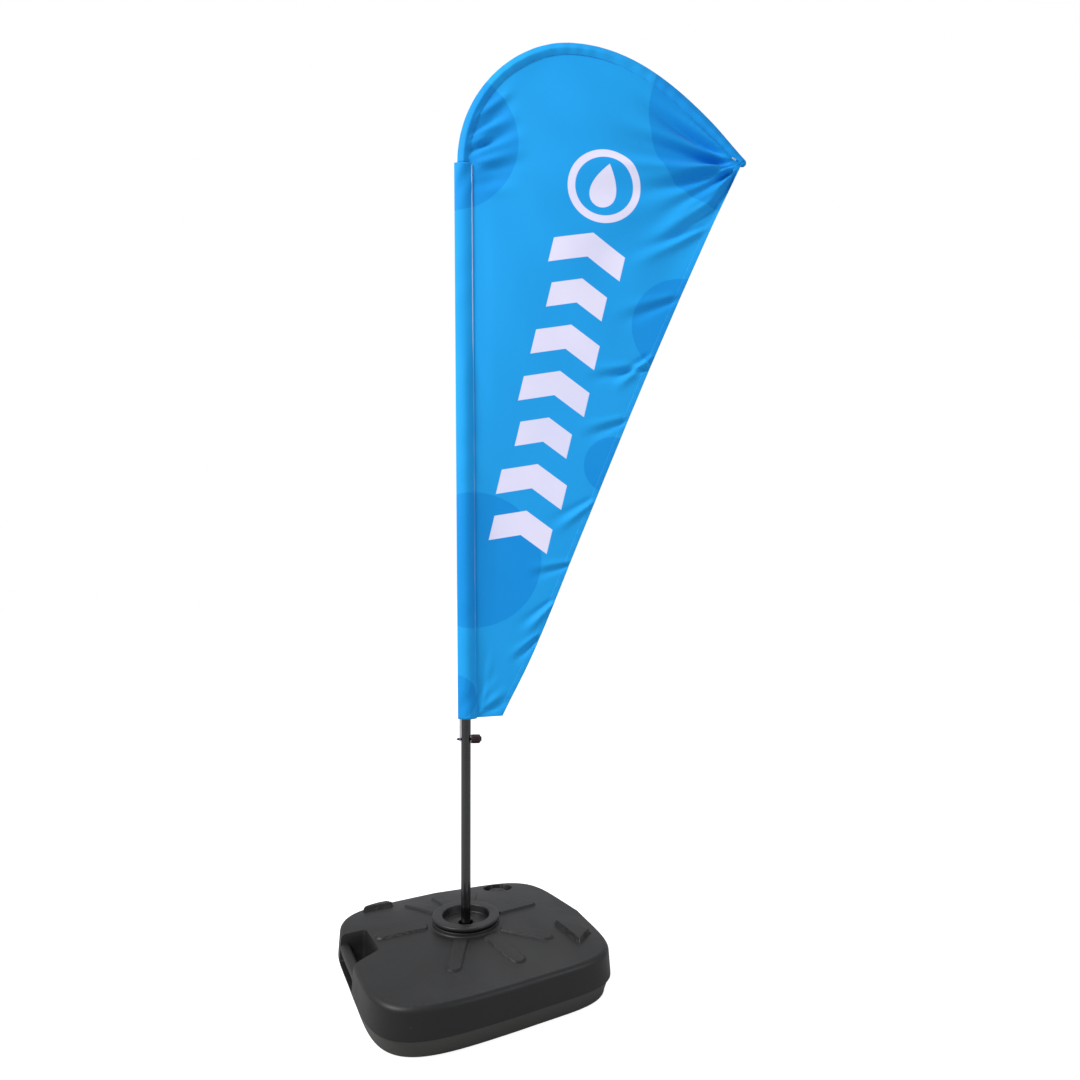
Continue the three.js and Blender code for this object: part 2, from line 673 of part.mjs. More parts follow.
const rodPath = new THREE.CurvePath();
const rodFreeZ = POLE_MIDDLE_TOP_Z + FERRULE_PLUG; // above its socket the rod starts to lean
rodPath.add(new THREE.LineCurve3(point(0, rodSocketZ + SEAT), point(0, rodFreeZ)));
rodPath.add(new THREE.LineCurve3(point(0, rodFreeZ), point(LEAN_TOP, archStartZ)));
archCurves().forEach((curve) => rodPath.add(curve));
const rodStopShare = 1 - (TIP_CAP_WALL + SEAT + TIP_CAP_ROOM) / rodPath.getLength();
const rodSteps = 54;
function flexRod() {
  const points = Array.from({ length: rodSteps + 1 }, (_, i) =>
    rodPath.getPoint((rodStopShare * i) / rodSteps),
  );
  const curve = new THREE.CatmullRomCurve3(points);
  return along(curve, oval(ROD_R, ROD_R, 8), rodSteps);
}
place("pole_rod", flexRod(), fibreglass, flagGroup);

// A cap on the rod's end: a short cup that follows the rod's last stretch.
function tipCap() {
  const end = rodPath.getPoint(rodStopShare);
  const direction = rodPath.getTangent(1);
  const profile = [
    [ROD_R + SEAT, 0],
    [ROD_R + SEAT + TIP_CAP_WALL, 0],
    [ROD_R + SEAT + TIP_CAP_WALL, TIP_CAP_LENGTH],
    [0, TIP_CAP_LENGTH],
    [0, TIP_CAP_LENGTH - TIP_CAP_WALL],
    [ROD_R + SEAT, TIP_CAP_LENGTH - TIP_CAP_WALL],
    [ROD_R + SEAT, 0],
  ];
  const cap = turned(profile, 16).translate(0, 0, SEAT + TIP_CAP_WALL - TIP_CAP_LENGTH);
  const turn = new THREE.Quaternion().setFromUnitVectors(new THREE.Vector3(0, 0, 1), direction);
  return cap.applyQuaternion(turn).translate(end.x, end.y, end.z);
}
place("rod_tip", tipCap(), rubber, flagGroup);

// ---- Sail ---------------------------------------------------------------------------------------
// The straight sleeve: an oval pocket round the pole, as long as the sail's straight side.
const straightHalf = POLE_R + SLEEVE_EASE;
const pocketInner = POLE_R + SLEEVE_CLEARANCE;
const pocketOuter = pocketInner + SLEEVE_WALL;
function straightSleeve() {
  const section = oval(straightHalf, pocketOuter, 20);
  section.holes.push(oval(straightHalf - SLEEVE_WALL, pocketInner, 20));
  const lean = (LEAN_TOP - LEAN_FOOT) / STRAIGHT_LENGTH; // sideways for each unit of height
  const leaning = new THREE.Matrix4().makeShear(0, 0, 0, 0, lean, 0);
  return prism(section, 0, STRAIGHT_LENGTH).applyMatrix4(leaning).translate(LEAN_FOOT, 0, FOOT_Z);
}
place("sleeve_straight", straightSleeve(), cloth, flagGroup);

// The curved sleeve: a narrower pocket that follows the arch to the tip.
const curvedThick = ROD_R + SEAT + TIP_CAP_WALL + POCKET_CLEARANCE + SLEEVE_WALL;
const SLEEVE_STEPS = 28;
function curvedSleeve() {
  const outside = oval(curvedThick, CURVED_HALF, 12);
  const inside = oval(curvedThick - SLEEVE_WALL, CURVED_HALF - SLEEVE_WALL, 12);
  const outer = solid(along(arch, outside, SLEEVE_STEPS));
  return outer.subtract(solid(along(longArch(), inside, SLEEVE_STEPS)));
}
// The arch's own points, with its two ends drawn out a little along their directions.
function longArch() {
  const past = 2 * SLEEVE_WALL;
  const points = arch.getSpacedPoints(SLEEVE_STEPS);
  const start = points[0].clone().addScaledVector(arch.getTangent(0), -past);
  const end = points[SLEEVE_STEPS].clone().addScaledVector(arch.getTangent(1), past);
  return new THREE.CatmullRomCurve3([start, ...points, end]);
}
place("sleeve_curved", geometryOf(curvedSleeve()), cloth, flagGroup);

// The doubled end of the pocket, past the rod's cap.
function tipPocket() {
  const direction = arch.getTangent(1);
  const end = arch.getPoint(1);
  const from = end.clone().addScaledVector(direction, SEAT);
  const to = end.clone().addScaledVector(direction, TIP_POCKET_LENGTH);
  return along(new THREE.LineCurve3(from, to), oval(curvedThick, CURVED_HALF, 12), 1);
}
place("tip_pocket", tipPocket(), cloth, flagGroup);

// The sail's free edge, from the tip down to the foot: a smooth line through points given as shares
// of the tip's distance from the pole and of its height above the foot.
const LEECH_SHARES = [
  [0.85, 0.84],
  [0.63, 0.59],
  [0.415, 0.33],
  [0.25, 0.128],
];
const footRightX = LEAN_FOOT + straightHalf + FOOT_WIDTH;
const leech = new THREE.SplineCurve([
  new THREE.Vector2(tipX - LEECH_TOP_INSET[0], tipZ - LEECH_TOP_INSET[1]),
  ...LEECH_SHARES.map(([x, z]) => new THREE.Vector2(x * tipX, FOOT_Z + z * (tipZ - FOOT_Z))),
  new THREE.Vector2(footRightX, FOOT_Z + FOOT_RISE),
]);
const leechPoints = leech.getSpacedPoints(28);

// The leech shifted sideways into the sail, or out of it where the shift is negative.
function leechOffset(shift) {
  return leechPoints.map((at, i) => {
    const before = leechPoints[Math.max(i - 1, 0)];
    const after = leechPoints[Math.min(i + 1, leechPoints.length - 1)];
    const direction = after.clone().sub(before).normalize();
    return [at.x + shift * direction.y, at.y - shift * direction.x];
  });
}
function archOffset(shift, steps) {
  return Array.from({ length: steps + 1 }, (_, i) => {
    const at = arch.getPoint(i / steps);
    const direction = arch.getTangent(i / steps);
    return [at.x + shift * direction.z, at.z - shift * direction.x];
  });
}

// All the cloth between the sleeves and the leech.
function sailOutline() {
  const sleeveEdge = straightHalf + SEAT;
  const archEdge = archOffset(CURVED_HALF + SEAT, 30);
  return polygon([
    [LEAN_FOOT + sleeveEdge, FOOT_Z + FOOT_RISE / 3],
    [LEAN_TOP + sleeveEdge, straightTopZ + SEAT],
    ...archEdge,
    ...leechPoints.map((at) => [at.x, at.y]),
  ]);
}
function leechBand(depth) {
  return polygon([...leechOffset(-HEM_WIDTH), ...leechOffset(depth).reverse()]);
}
function footBand(depth) {
  const low = FOOT_Z - HEM_WIDTH;
  return polygon([
    [0, low],
    [2 * footRightX, low],
    [2 * footRightX, FOOT_Z + depth],
    [0, FOOT_Z + depth],
  ]);
}
const cut = (outline) => solid(sheet(outline, 4 * HEM_THICK));
place(
  "sail_panel",
  geometryOf(
    solid(sheet(sailOutline(), CLOTH))
      .subtract(cut(leechBand(HEM_WIDTH + SEAT)))
      .subtract(cut(footBand(HEM_WIDTH + FOOT_RISE + SEAT))),
  ),
  cloth,
  flagGroup,
);
const hemSheet = solid(sheet(sailOutline(), HEM_THICK));
const footHem = hemSheet.intersect(cut(footBand(HEM_WIDTH + FOOT_RISE)));
place("foot_hem", geometryOf(footHem), cloth, flagGroup);
const leechHem = hemSheet
  .intersect(cut(leechBand(HEM_WIDTH)))
  .subtract(cut(footBand(HEM_WIDTH + FOOT_RISE + SEAT)));
place("leech_hem", geometryOf(leechHem), cloth, flagGroup);

// ---- Elastic loop and its anchor ----------------------------------------------------------------
// The elastic is sewn inside the sleeve's mouth and hooks under the pin.
function elasticLoop() {
  const x = -POLE_R - ELASTIC_GAP;
  const hookR = PIN_R + SEAT + ELASTIC_R;
  const spread = ELASTIC_R + ELASTIC_SPREAD;
  const lowZ = anchorZ + HOOK_LENGTH;
  const topZ = FOOT_Z + SEWN_LENGTH;
  const hook = Array.from({ length: 7 }, (_, i) => {
    const turn = Math.PI + (Math.PI * i) / 6;
    return new THREE.Vector3(x, hookR * Math.cos(turn), anchorZ + hookR * Math.sin(turn));
  });
  const curve = new THREE.CatmullRomCurve3([
    new THREE.Vector3(x, -spread, topZ),
    new THREE.Vector3(x, -hookR - ELASTIC_SLACK, lowZ),
    ...hook,
    new THREE.Vector3(x, hookR + ELASTIC_SLACK, lowZ),
    new THREE.Vector3(x, spread, topZ),
  ]);
  return along(curve, oval(ELASTIC_R, ELASTIC_R, 8), 32);
}
place("elastic_loop", elasticLoop(), elastic, flagGroup);

// The pin lies across the pole in the sail's plane, pointed at one end, with the knob at the other.
const alongX = (geometry) => geometry.rotateY(Math.PI / 2).translate(0, 0, anchorZ);
const knobX = POLE_R + SEAT;
const pinEndX = knobX + KNOB_LENGTH / 2;
place(
  "cross_pin",
  alongX(
    turned(
      [
        [0, -POLE_R - PIN_REACH],
        [PIN_R, PIN_POINT - POLE_R - PIN_REACH],
        [PIN_R, pinEndX],
        [0, pinEndX],
      ],
      16,
    ),
  ),
  steel,
  flagGroup,
);
place(
  "tension_knob",
  alongX(
    turned(
      [
        [PIN_R + SEAT, knobX],
        [KNOB_R - KNOB_BEVEL, knobX],
        [KNOB_R, knobX + KNOB_BEVEL],
        [KNOB_R, knobX + KNOB_GRIP_LENGTH],
        [KNOB_CROWN_R, knobX + KNOB_CROWN_LENGTH],
        [KNOB_NIB_R, knobX + KNOB_CROWN_LENGTH],
        [KNOB_NIB_R, knobX + KNOB_LENGTH],
        [0, knobX + KNOB_LENGTH],
        [0, pinEndX + SEAT],
        [PIN_R + SEAT, pinEndX + SEAT],
        [PIN_R + SEAT, knobX],
      ],
      20,
    ),
  ),
  knobPlastic,
  flagGroup,
);

export default assembly;
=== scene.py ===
"""A teardrop flag on a water tank. Metres, +Z up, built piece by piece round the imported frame."""
import json
import math

import bpy
import numpy as np
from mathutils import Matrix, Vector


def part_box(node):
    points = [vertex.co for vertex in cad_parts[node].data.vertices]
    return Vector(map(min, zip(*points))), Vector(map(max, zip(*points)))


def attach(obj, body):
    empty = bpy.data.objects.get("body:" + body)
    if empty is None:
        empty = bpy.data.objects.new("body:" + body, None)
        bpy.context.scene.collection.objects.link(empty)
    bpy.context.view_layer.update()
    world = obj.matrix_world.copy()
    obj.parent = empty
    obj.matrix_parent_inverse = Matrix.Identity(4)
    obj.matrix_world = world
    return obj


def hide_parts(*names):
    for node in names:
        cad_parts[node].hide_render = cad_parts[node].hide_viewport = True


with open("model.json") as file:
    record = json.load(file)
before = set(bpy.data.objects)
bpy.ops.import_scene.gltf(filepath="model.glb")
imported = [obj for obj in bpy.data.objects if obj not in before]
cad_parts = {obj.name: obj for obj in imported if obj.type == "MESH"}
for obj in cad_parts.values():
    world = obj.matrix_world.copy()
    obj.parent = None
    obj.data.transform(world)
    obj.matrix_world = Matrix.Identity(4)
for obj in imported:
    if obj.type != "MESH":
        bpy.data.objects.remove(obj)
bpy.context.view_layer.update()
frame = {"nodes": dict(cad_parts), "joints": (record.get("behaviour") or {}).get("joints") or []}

# ---- Camera, light and floor ---------------------------------------------------------------------
# The sail stands square to the camera, which looks level past the pole from a little under
# 1.8 m. Everything on the sail is laid out in the sail's own plane: X away from the pole along
# the sail, Y through the cloth, Z up; in_sail_plane turns such points to where the sail stands.
MM = 0.001
joints = {joint["name"]: joint for joint in frame["joints"]}
pin_axis = joints["anchor_turn"]["axis"]
SAIL_TURN = math.atan2(pin_axis[1], pin_axis[0])


def in_sail_plane(points):
    """Points turned about Z by the sail's angle, the last axis being X, Y and Z."""
    points = np.asarray(points, float)
    along, through, up = np.moveaxis(points, -1, 0)
    cos, sin = math.cos(SAIL_TURN), math.sin(SAIL_TURN)
    return np.stack([cos * along - sin * through, sin * along + cos * through, up], -1)


CAMERA_DISTANCE = 1.763
CAMERA_HEIGHT = 0.886
CAMERA_YAW = 0.0867
CAMERA_TILT = 0.0093
CAMERA_LENS = 28.33

camera = bpy.data.objects.new("camera", bpy.data.cameras.new("camera"))
bpy.context.scene.collection.objects.link(camera)
camera.data.sensor_width = 36
camera.data.lens = CAMERA_LENS
camera.data.clip_end = 50
camera.location = in_sail_plane([0, -CAMERA_DISTANCE, CAMERA_HEIGHT])
camera.rotation_euler = (math.pi / 2 + CAMERA_TILT, 0, SAIL_TURN - CAMERA_YAW)
bpy.context.scene.camera = camera


def softbox(name, place, target, size, power, color):
    """A square area light at a place in the sail's frame, turned to face a target."""
    light = bpy.data.objects.new(name, bpy.data.lights.new(name, "AREA"))
    bpy.context.scene.collection.objects.link(light)
    light.data.size = size
    light.data.energy = power
    light.data.color = color
    light.location = in_sail_plane(place)
    facing = light.location - type(light.location)(in_sail_plane(target))
    light.rotation_euler = facing.to_track_quat("Z", "Y").to_euler()


softbox("key", [-2.4, -1.1, 2.9], [0.1, 0, 1.2], 1.0, 130, (1.0, 0.985, 0.96))
softbox("fill", [2.6, -1.6, 1.4], [0.1, 0, 0.7], 1.2, 18, (0.94, 0.97, 1.0))
softbox("over", [0.4, 1.4, 3.2], [0, 0, 0.3], 1.6, 24, (1.0, 1.0, 1.0))

# The backdrop is seen white, and lights the object less brightly than it looks.
world = bpy.data.worlds.new("studio")
world.use_nodes = True
world_nodes, world_links = world.node_tree.nodes, world.node_tree.links
lighting = world_nodes["Background"]
lighting.inputs["Color"].default_value = (0.95, 0.97, 1.0, 1)
lighting.inputs["Strength"].default_value = 0.58
backdrop = world_nodes.new("ShaderNodeBackground")
backdrop.inputs["Color"].default_value = (1, 1, 1, 1)
seen = world_nodes.new("ShaderNodeLightPath")
chosen = world_nodes.new("ShaderNodeMixShader")
world_links.new(seen.outputs["Is Camera Ray"], chosen.inputs[0])
world_links.new(lighting.outputs[0], chosen.inputs[1])
world_links.new(backdrop.outputs[0], chosen.inputs[2])
world_links.new(chosen.outputs[0], world_nodes["World Output"].inputs[0])
bpy.context.scene.world = world
bpy.context.scene.view_settings.view_transform = "Standard"


def mesh_piece(name, vertices, faces, smooth=True):
    """An object whose mesh has these vertices and faces, in the row frame."""
    mesh = bpy.data.meshes.new(name)
    mesh.from_pydata(np.asarray(vertices, float).reshape(-1, 3).tolist(), [], faces)
    mesh.polygons.foreach_set("use_smooth", [smooth] * len(mesh.polygons))
    mesh.update()
    piece = bpy.data.objects.new(name, mesh)
    bpy.context.scene.collection.objects.link(piece)
    return piece


def plain_paint(name, color, roughness, glow):
    """A material of one colour for what isn't part of the object, which looks brighter than it
    lights what stands on it."""
    paint = bpy.data.materials.new(name)
    paint.use_nodes = True
    shader = paint.node_tree.nodes["Principled BSDF"]
    shader.inputs["Base Color"].default_value = (*color, 1)
    shader.inputs["Roughness"].default_value = roughness
    shader.inputs["Emission Strength"].default_value = glow
    seen = paint.node_tree.nodes.new("ShaderNodeLightPath")
    paint.node_tree.links.new(seen.outputs["Is Camera Ray"], shader.inputs["Emission Color"])
    return paint


FLOOR_HALF = 12.0
floor_corners = [(-1, -1, 0), (1, -1, 0), (1, 1, 0), (-1, 1, 0)]
floor = mesh_piece("floor", np.array(floor_corners) * FLOOR_HALF, [(0, 1, 2, 3)], False)
floor.data.materials.append(plain_paint("floor_paint", (0.45, 0.45, 0.45), 0.85, 0.85))

# ---- Water tank ----------------------------------------------------------------------------------
# A hollow blow-moulded tank of black polyethylene. Its skin is one profile carried round the pole
# and stretched to a rounded square, with ribs and two lugs raised from the deck and the filler's
# recess sunk in it; the handle notch and the filler's bore are cut afterwards.
HALF_LENGTH = 255 * MM
HALF_WIDTH = 235 * MM
OUTLINE_SHIFT = 14 * MM
CORNER_REACH = [-0.05, -0.03, 0.035, -0.045]
SQUARENESS = 4.85
DECK_EDGE_Z = 93 * MM
DECK_CROWN = 23 * MM
DECK_EDGE_R = 12 * MM
PARTING_Z = 35 * MM
BOSS_R = 68 * MM
BOSS_HEIGHT = 8.5 * MM
FOOT_R = HALF_LENGTH - 11 * MM
DECK_RIM_R = HALF_LENGTH - 3 * MM - DECK_EDGE_R
cap_low, cap_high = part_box("fill_cap")
FILLER = np.array([(cap_low.x + cap_high.x) / 2, (cap_low.y + cap_high.y) / 2])


def deck_height(radius):
    return DECK_EDGE_Z + DECK_CROWN * (1 - (radius / DECK_RIM_R) ** 2)


def smooth_step(value, low, high):
    """0 below low, 1 above high and a smooth S between them."""
    share = np.clip((value - low) / (high - low), 0, 1)
    return share * share * (3 - 2 * share)


def to_rounded_square(radius, direction):
    """The place on the tank of a point of the round profile: the further out it lies, the more it
    takes on the outline, whose radius in a direction is that of a superellipse with its corners
    drawn in or out."""
    across = np.abs(np.cos(direction)) ** SQUARENESS
    along = np.abs(np.sin(direction) * HALF_LENGTH / HALF_WIDTH) ** SQUARENESS
    outline = (across + along) ** (-1 / SQUARENESS)
    for corner, reach in enumerate(CORNER_REACH):
        apart = direction - math.pi / 4 * (2 * corner + 1)
        near = (np.cos(apart) > 0) * np.maximum(np.cos(2 * apart), 0)
        outline = outline * (1 + reach * near)
    share = smooth_step(radius, BOSS_R + 12 * MM, HALF_LENGTH - 70 * MM)
    factor = 1 + share * (outline - 1)
    x = radius * factor * np.cos(direction) + share * OUTLINE_SHIFT
    return x, radius * factor * np.sin(direction)


def arc(corner_r, corner_z, radius, first, last, steps):
    """Profile points on an arc about a centre, from one angle to another in degrees."""
    turn = np.radians(np.linspace(first, last, steps))
    return np.stack([corner_r + radius * np.cos(turn), corner_z + radius * np.sin(turn)], 1)


def spaced(start, end, step):
    """Points on a straight line of a profile, about a step apart, its last point left out."""
    start, end = np.array(start, float), np.array(end, float)
    count = max(int(np.linalg.norm(end - start) / step), 1)
    return start + (end - start) * np.arange(count)[:, None] / count


RIB_ANGLES = np.radians([15, 65, 90, 113, 165, 241, 284, 318])
RIB_START = BOSS_R + 13 * MM
RIB_END = HALF_WIDTH - 51 * MM
RIB_HALF = 14 * MM
RIB_HEIGHT = 4 * MM
LUG_HEIGHT = 9 * MM
LUGS = [
    # middle of the inner wall, outward direction, half widths at that wall and outside, depth
    (-131 * MM, HALF_WIDTH - 46 * MM, math.radians(83), 32 * MM, 20 * MM, 30 * MM),
    (OUTLINE_SHIFT + HALF_LENGTH - 92.5 * MM, -112.5 * MM, math.radians(5.6), 46 * MM, 7 * MM, 53 * MM),
]
RECESS_R = 31 * MM
RECESS_FLOOR_Z = DECK_EDGE_Z - 15 * MM
SHOULDER = 1.3 * MM


def deck_relief(x, y):
    """How far the deck stands above its plain crown: the greatest of its ribs and lugs, each a
    plateau whose edge falls over a narrow shoulder."""
    rise = np.zeros_like(x)
    for angle in RIB_ANGLES:
        along = x * math.cos(angle) + y * math.sin(angle)
        across = -x * math.sin(angle) + y * math.cos(angle)
        nearest = np.clip(along, RIB_START, RIB_END - RIB_HALF)
        beyond = np.where(along < RIB_START, 9.0, 1.0) * (along - nearest)
        inside = RIB_HALF - np.hypot(beyond, across)
        rise = np.maximum(rise, RIB_HEIGHT * smooth_step(inside, -SHOULDER, SHOULDER))
    for lug_x, lug_y, angle, inner, outer, depth in LUGS:
        along = (x - lug_x) * math.cos(angle) + (y - lug_y) * math.sin(angle)
        across = np.abs((y - lug_y) * math.cos(angle) - (x - lug_x) * math.sin(angle))
        side = inner + (outer - inner) * along / depth - across
        edge = smooth_step(np.minimum(along, side), -SHOULDER, 1.2 * SHOULDER)
        back = smooth_step(depth - along, -2 * SHOULDER, 8 * SHOULDER)
        rise = np.maximum(rise, LUG_HEIGHT * edge * back)
    return rise


_, socket_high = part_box("socket_insert")
boss_top_z = deck_height(BOSS_R) + BOSS_HEIGHT
well_r = 19.4 * MM
cup_r = 54 * MM
cup_z = socket_high.z - 20.3 * MM
well_z = 14 * MM
profile = np.concatenate([
    [[0, 0]],
    spaced([20 * MM, 0], [74 * MM, 0], 27 * MM),
    [[74 * MM, 0], [78 * MM, 4 * MM]],
    spaced([90 * MM, 4 * MM], [FOOT_R - 51 * MM, 4 * MM], 20 * MM),
    [[FOOT_R - 51 * MM, 4 * MM], [FOOT_R - 47 * MM, 0]],
    arc(FOOT_R - 7 * MM, 7 * MM, 7 * MM, -90, -8, 8),
    spaced([FOOT_R, 9 * MM], [HALF_LENGTH - 3 * MM, PARTING_Z - 1 * MM], 8 * MM),
    [[HALF_LENGTH - 2.6 * MM, PARTING_Z - 0.4 * MM], [HALF_LENGTH - 0.6 * MM, PARTING_Z]],
    [[HALF_LENGTH, PARTING_Z + 0.8 * MM], [HALF_LENGTH, PARTING_Z + 2.6 * MM]],
    spaced(
        [HALF_LENGTH - 0.2 * MM, 42 * MM],
        [DECK_RIM_R + DECK_EDGE_R, DECK_EDGE_Z - DECK_EDGE_R],
        9 * MM,
    ),
    arc(DECK_RIM_R, DECK_EDGE_Z - DECK_EDGE_R, DECK_EDGE_R, 0, 88, 11),
])
deck_r = np.linspace(DECK_RIM_R - 0.6 * MM, BOSS_R + 5 * MM, 92)
profile = np.concatenate([
    profile,
    np.stack([deck_r, deck_height(deck_r)], 1),
    np.stack([
        BOSS_R + 4.6 * MM - 4.6 * MM * np.sin(np.linspace(0.2, 1.45, 6)),
        deck_height(BOSS_R) + 4.6 * MM - 4.6 * MM * np.cos(np.linspace(0.2, 1.45, 6)),
    ], 1),
    arc(BOSS_R - 2 * MM, boss_top_z - 2 * MM, 2 * MM, 0, 90, 5),
    [[cup_r, boss_top_z], [cup_r, cup_z], [well_r, cup_z], [well_r, well_z], [0, well_z]],
])
DIRECTIONS = 560


def around(count):
    """Evenly spaced angles once round a circle."""
    return np.linspace(0, 2 * math.pi, count, endpoint=False)


direction = around(DIRECTIONS)
ring_r = profile[1:-1, 0][:, None]
tank_x, tank_y = to_rounded_square(ring_r, direction[None, :])
on_deck = (profile[1:-1, 1] > DECK_EDGE_Z - 2 * MM) & (profile[1:-1, 0] > BOSS_R + 5 * MM)
reach = smooth_step(DECK_RIM_R + 3 * MM - ring_r, 0, 6 * MM) * on_deck[:, None]
tank_z = profile[1:-1, 1][:, None] + reach * deck_relief(tank_x, tank_y)
from_filler = np.hypot(tank_x - FILLER[0], tank_y - FILLER[1])
sunk = smooth_step(RECESS_R - from_filler, -1 * MM, 1 * MM) * on_deck[:, None]
tank_z = tank_z + sunk * (RECESS_FLOOR_Z - tank_z)


def grid_faces(rows, columns, wrap):
    """Quads between neighbouring rows and columns of a grid, the last column joined to the first
    if it wraps. Rows run upwards where columns run anticlockwise."""
    row, column = np.meshgrid(np.arange(rows - 1), np.arange(columns - (not wrap)), indexing="ij")
    beside = (column + 1) % columns
    corners = [row * columns + column, row * columns + beside]
    corners += [(row + 1) * columns + beside, (row + 1) * columns + column]
    return np.stack(corners, -1).reshape(-1, 4).tolist()


def end_faces(rows, columns):
    """The two faces that close a wrapped grid, at its first and its last row."""
    return [list(range(columns))[::-1], [(rows - 1) * columns + i for i in range(columns)]]


def fan(ring, tip, outward_first):
    """Triangles from a ring of point numbers to one tip."""
    following = np.roll(ring, -1)
    order = [following, ring] if outward_first else [ring, following]
    return np.stack([*order, np.full(len(ring), tip)], 1).tolist()


rings = len(profile) - 2
vertices = np.stack([tank_x, tank_y, tank_z], -1).reshape(-1, 3)
bottom_tip, well_tip = len(vertices), len(vertices) + 1
vertices = np.concatenate([vertices, [[0, 0, 0], [0, 0, well_z]]])
faces = grid_faces(rings, DIRECTIONS, True)
faces += fan(np.arange(DIRECTIONS), bottom_tip, True)
faces += fan(np.arange(DIRECTIONS) + (rings - 1) * DIRECTIONS, well_tip, False)
tank = mesh_piece("tank", vertices, faces)


def rounded_outline(corners, radius, steps=6):
    """A polygon's outline with each corner turned to an arc of a radius."""
    corners = np.array(corners, float)
    outline = []
    for before, at, after in zip(np.roll(corners, 1, 0), corners, np.roll(corners, -1, 0)):
        back = (before - at) / np.linalg.norm(before - at)
        ahead = (after - at) / np.linalg.norm(after - at)
        reach = radius / math.tan(math.acos(np.clip(back @ ahead, -1, 1)) / 2)
        share = np.linspace(0, 1, steps)[:, None]
        start, end = at + back * reach, at + ahead * reach
        outline.append((1 - share) ** 2 * start + 2 * share * (1 - share) * at + share**2 * end)
    return np.concatenate(outline)


def unit(vectors):
    """Vectors, one to a row, each divided by its length."""
    return vectors / np.linalg.norm(vectors, axis=1)[:, None]


def upright_prism(name, outline, heights, grow):
    """A closed prism of an outline whose rings stand at the given heights, each ring grown or
    shrunk about the outline's middle by its own amount."""
    spokes = unit(outline - outline.mean(0))
    count = len(outline)
    rings = [np.column_stack([outline + spokes * g, np.full(count, z)]) for z, g in zip(heights, grow)]
    faces = grid_faces(len(heights), count, True) + end_faces(len(heights), count)
    return mesh_piece(name, np.concatenate(rings), faces)


# The handle notch: a pocket in the side that faces -X, open to the top and to the side.
NOTCH_Y = 46 * MM
NOTCH_INNER_X = OUTLINE_SHIFT - HALF_LENGTH + 56 * MM
NOTCH_OUTER_X = OUTLINE_SHIFT - HALF_LENGTH - 30 * MM  # of the cut, past the tank's side
NOTCH_INNER_HALF = 48 * MM
NOTCH_OUTER_HALF = 80 * MM
NOTCH_CORNER_R = 10 * MM
NOTCH_FLOOR_Z = PARTING_Z + 3 * MM
notch_corners = [
    [NOTCH_OUTER_X, NOTCH_Y - NOTCH_OUTER_HALF],
    [NOTCH_INNER_X, NOTCH_Y - NOTCH_INNER_HALF],
    [NOTCH_INNER_X, NOTCH_Y + NOTCH_INNER_HALF],
    [NOTCH_OUTER_X, NOTCH_Y + NOTCH_OUTER_HALF],
]
notch_heights = np.array([0, 1, 3, 6, 48, 58, 80]) * MM + NOTCH_FLOOR_Z
notch_growth = np.array([-4, -2, -0.8, 0, 0, 1.5, 9]) * MM
notch_outline = rounded_outline(notch_corners, NOTCH_CORNER_R)
notch_cut = upright_prism("notch_cut", notch_outline, notch_heights, notch_growth)
NECK_BORE_R = 14 * MM
NECK_R = 17 * MM
NECK_HEIGHT = 8 * MM
NECK_ROUNDING = 0.8 * MM
round_turn = around(48)
bore_outline = FILLER + NECK_BORE_R * np.stack([np.cos(round_turn), np.sin(round_turn)], 1)
bore_cut = upright_prism("bore_cut", bore_outline, [40 * MM, 120 * MM], [0, 0])


def cut_away(piece, cutter):
    """The piece less the cutter, which is then removed."""
    cutting = piece.modifiers.new("cut", "BOOLEAN")
    cutting.operation = "DIFFERENCE"
    cutting.solver = "EXACT"
    cutting.object = cutter
    evaluated = piece.evaluated_get(bpy.context.evaluated_depsgraph_get())
    cut = bpy.data.meshes.new_from_object(evaluated)
    piece.modifiers.clear()
    piece.data = cut
    bpy.data.objects.remove(cutter)


def turned_piece(name, outline, sides, middle=(0, 0), closed=False):
    """A profile of [radius, height] points turned about an upright axis: a closed loop of points
    makes a ring, and an open one runs from the axis below to the axis above."""
    outline = np.array(outline, float)
    turn = around(sides)
    rows = np.concatenate([outline, outline[:1]]) if closed else outline[1:-1]
    ring = rows[:, None, 0:1] * np.stack([np.cos(turn), np.sin(turn)], -1) + np.array(middle)
    points = np.concatenate([ring, np.broadcast_to(rows[:, None, 1:2], (*ring.shape[:2], 1))], -1)
    if closed:
        count = len(outline)
        faces = np.array(grid_faces(count + 1, sides, True)) % (count * sides)
        return mesh_piece(name, points[:-1], faces.tolist())
    ends = [[*middle, outline[0, 1]], [*middle, outline[-1, 1]]]
    count = len(rows) * sides
    faces = grid_faces(len(rows), sides, True) + fan(np.arange(sides), count, True)
    faces += fan(np.arange(sides) + (len(rows) - 1) * sides, count + 1, False)
    return mesh_piece(name, np.concatenate([points.reshape(-1, 3), ends]), faces)


cut_away(tank, notch_cut)
cut_away(tank, bore_cut)

# The grip bar across the notch, and the filler's neck, are moulded in one with the tank.
GRIP_DEPTH = 10.2 * MM  # of the bar's middle behind the tank's side
GRIP_HALF_LENGTH = 70 * MM
GRIP_HALF_WIDTH, GRIP_HALF_HEIGHT = 10 * MM, 11 * MM
GRIP_SQUARENESS = 0.85
GRIP_SIDES, GRIP_STEPS = 40, 24
GRIP_Z = DECK_EDGE_Z - 30 * MM
grip_turn = around(GRIP_SIDES)


def signed_power(wave, power):
    """A wave's size raised to a power, with its own sign: below 1 it squares a circle off."""
    return np.sign(wave) * np.abs(wave) ** power


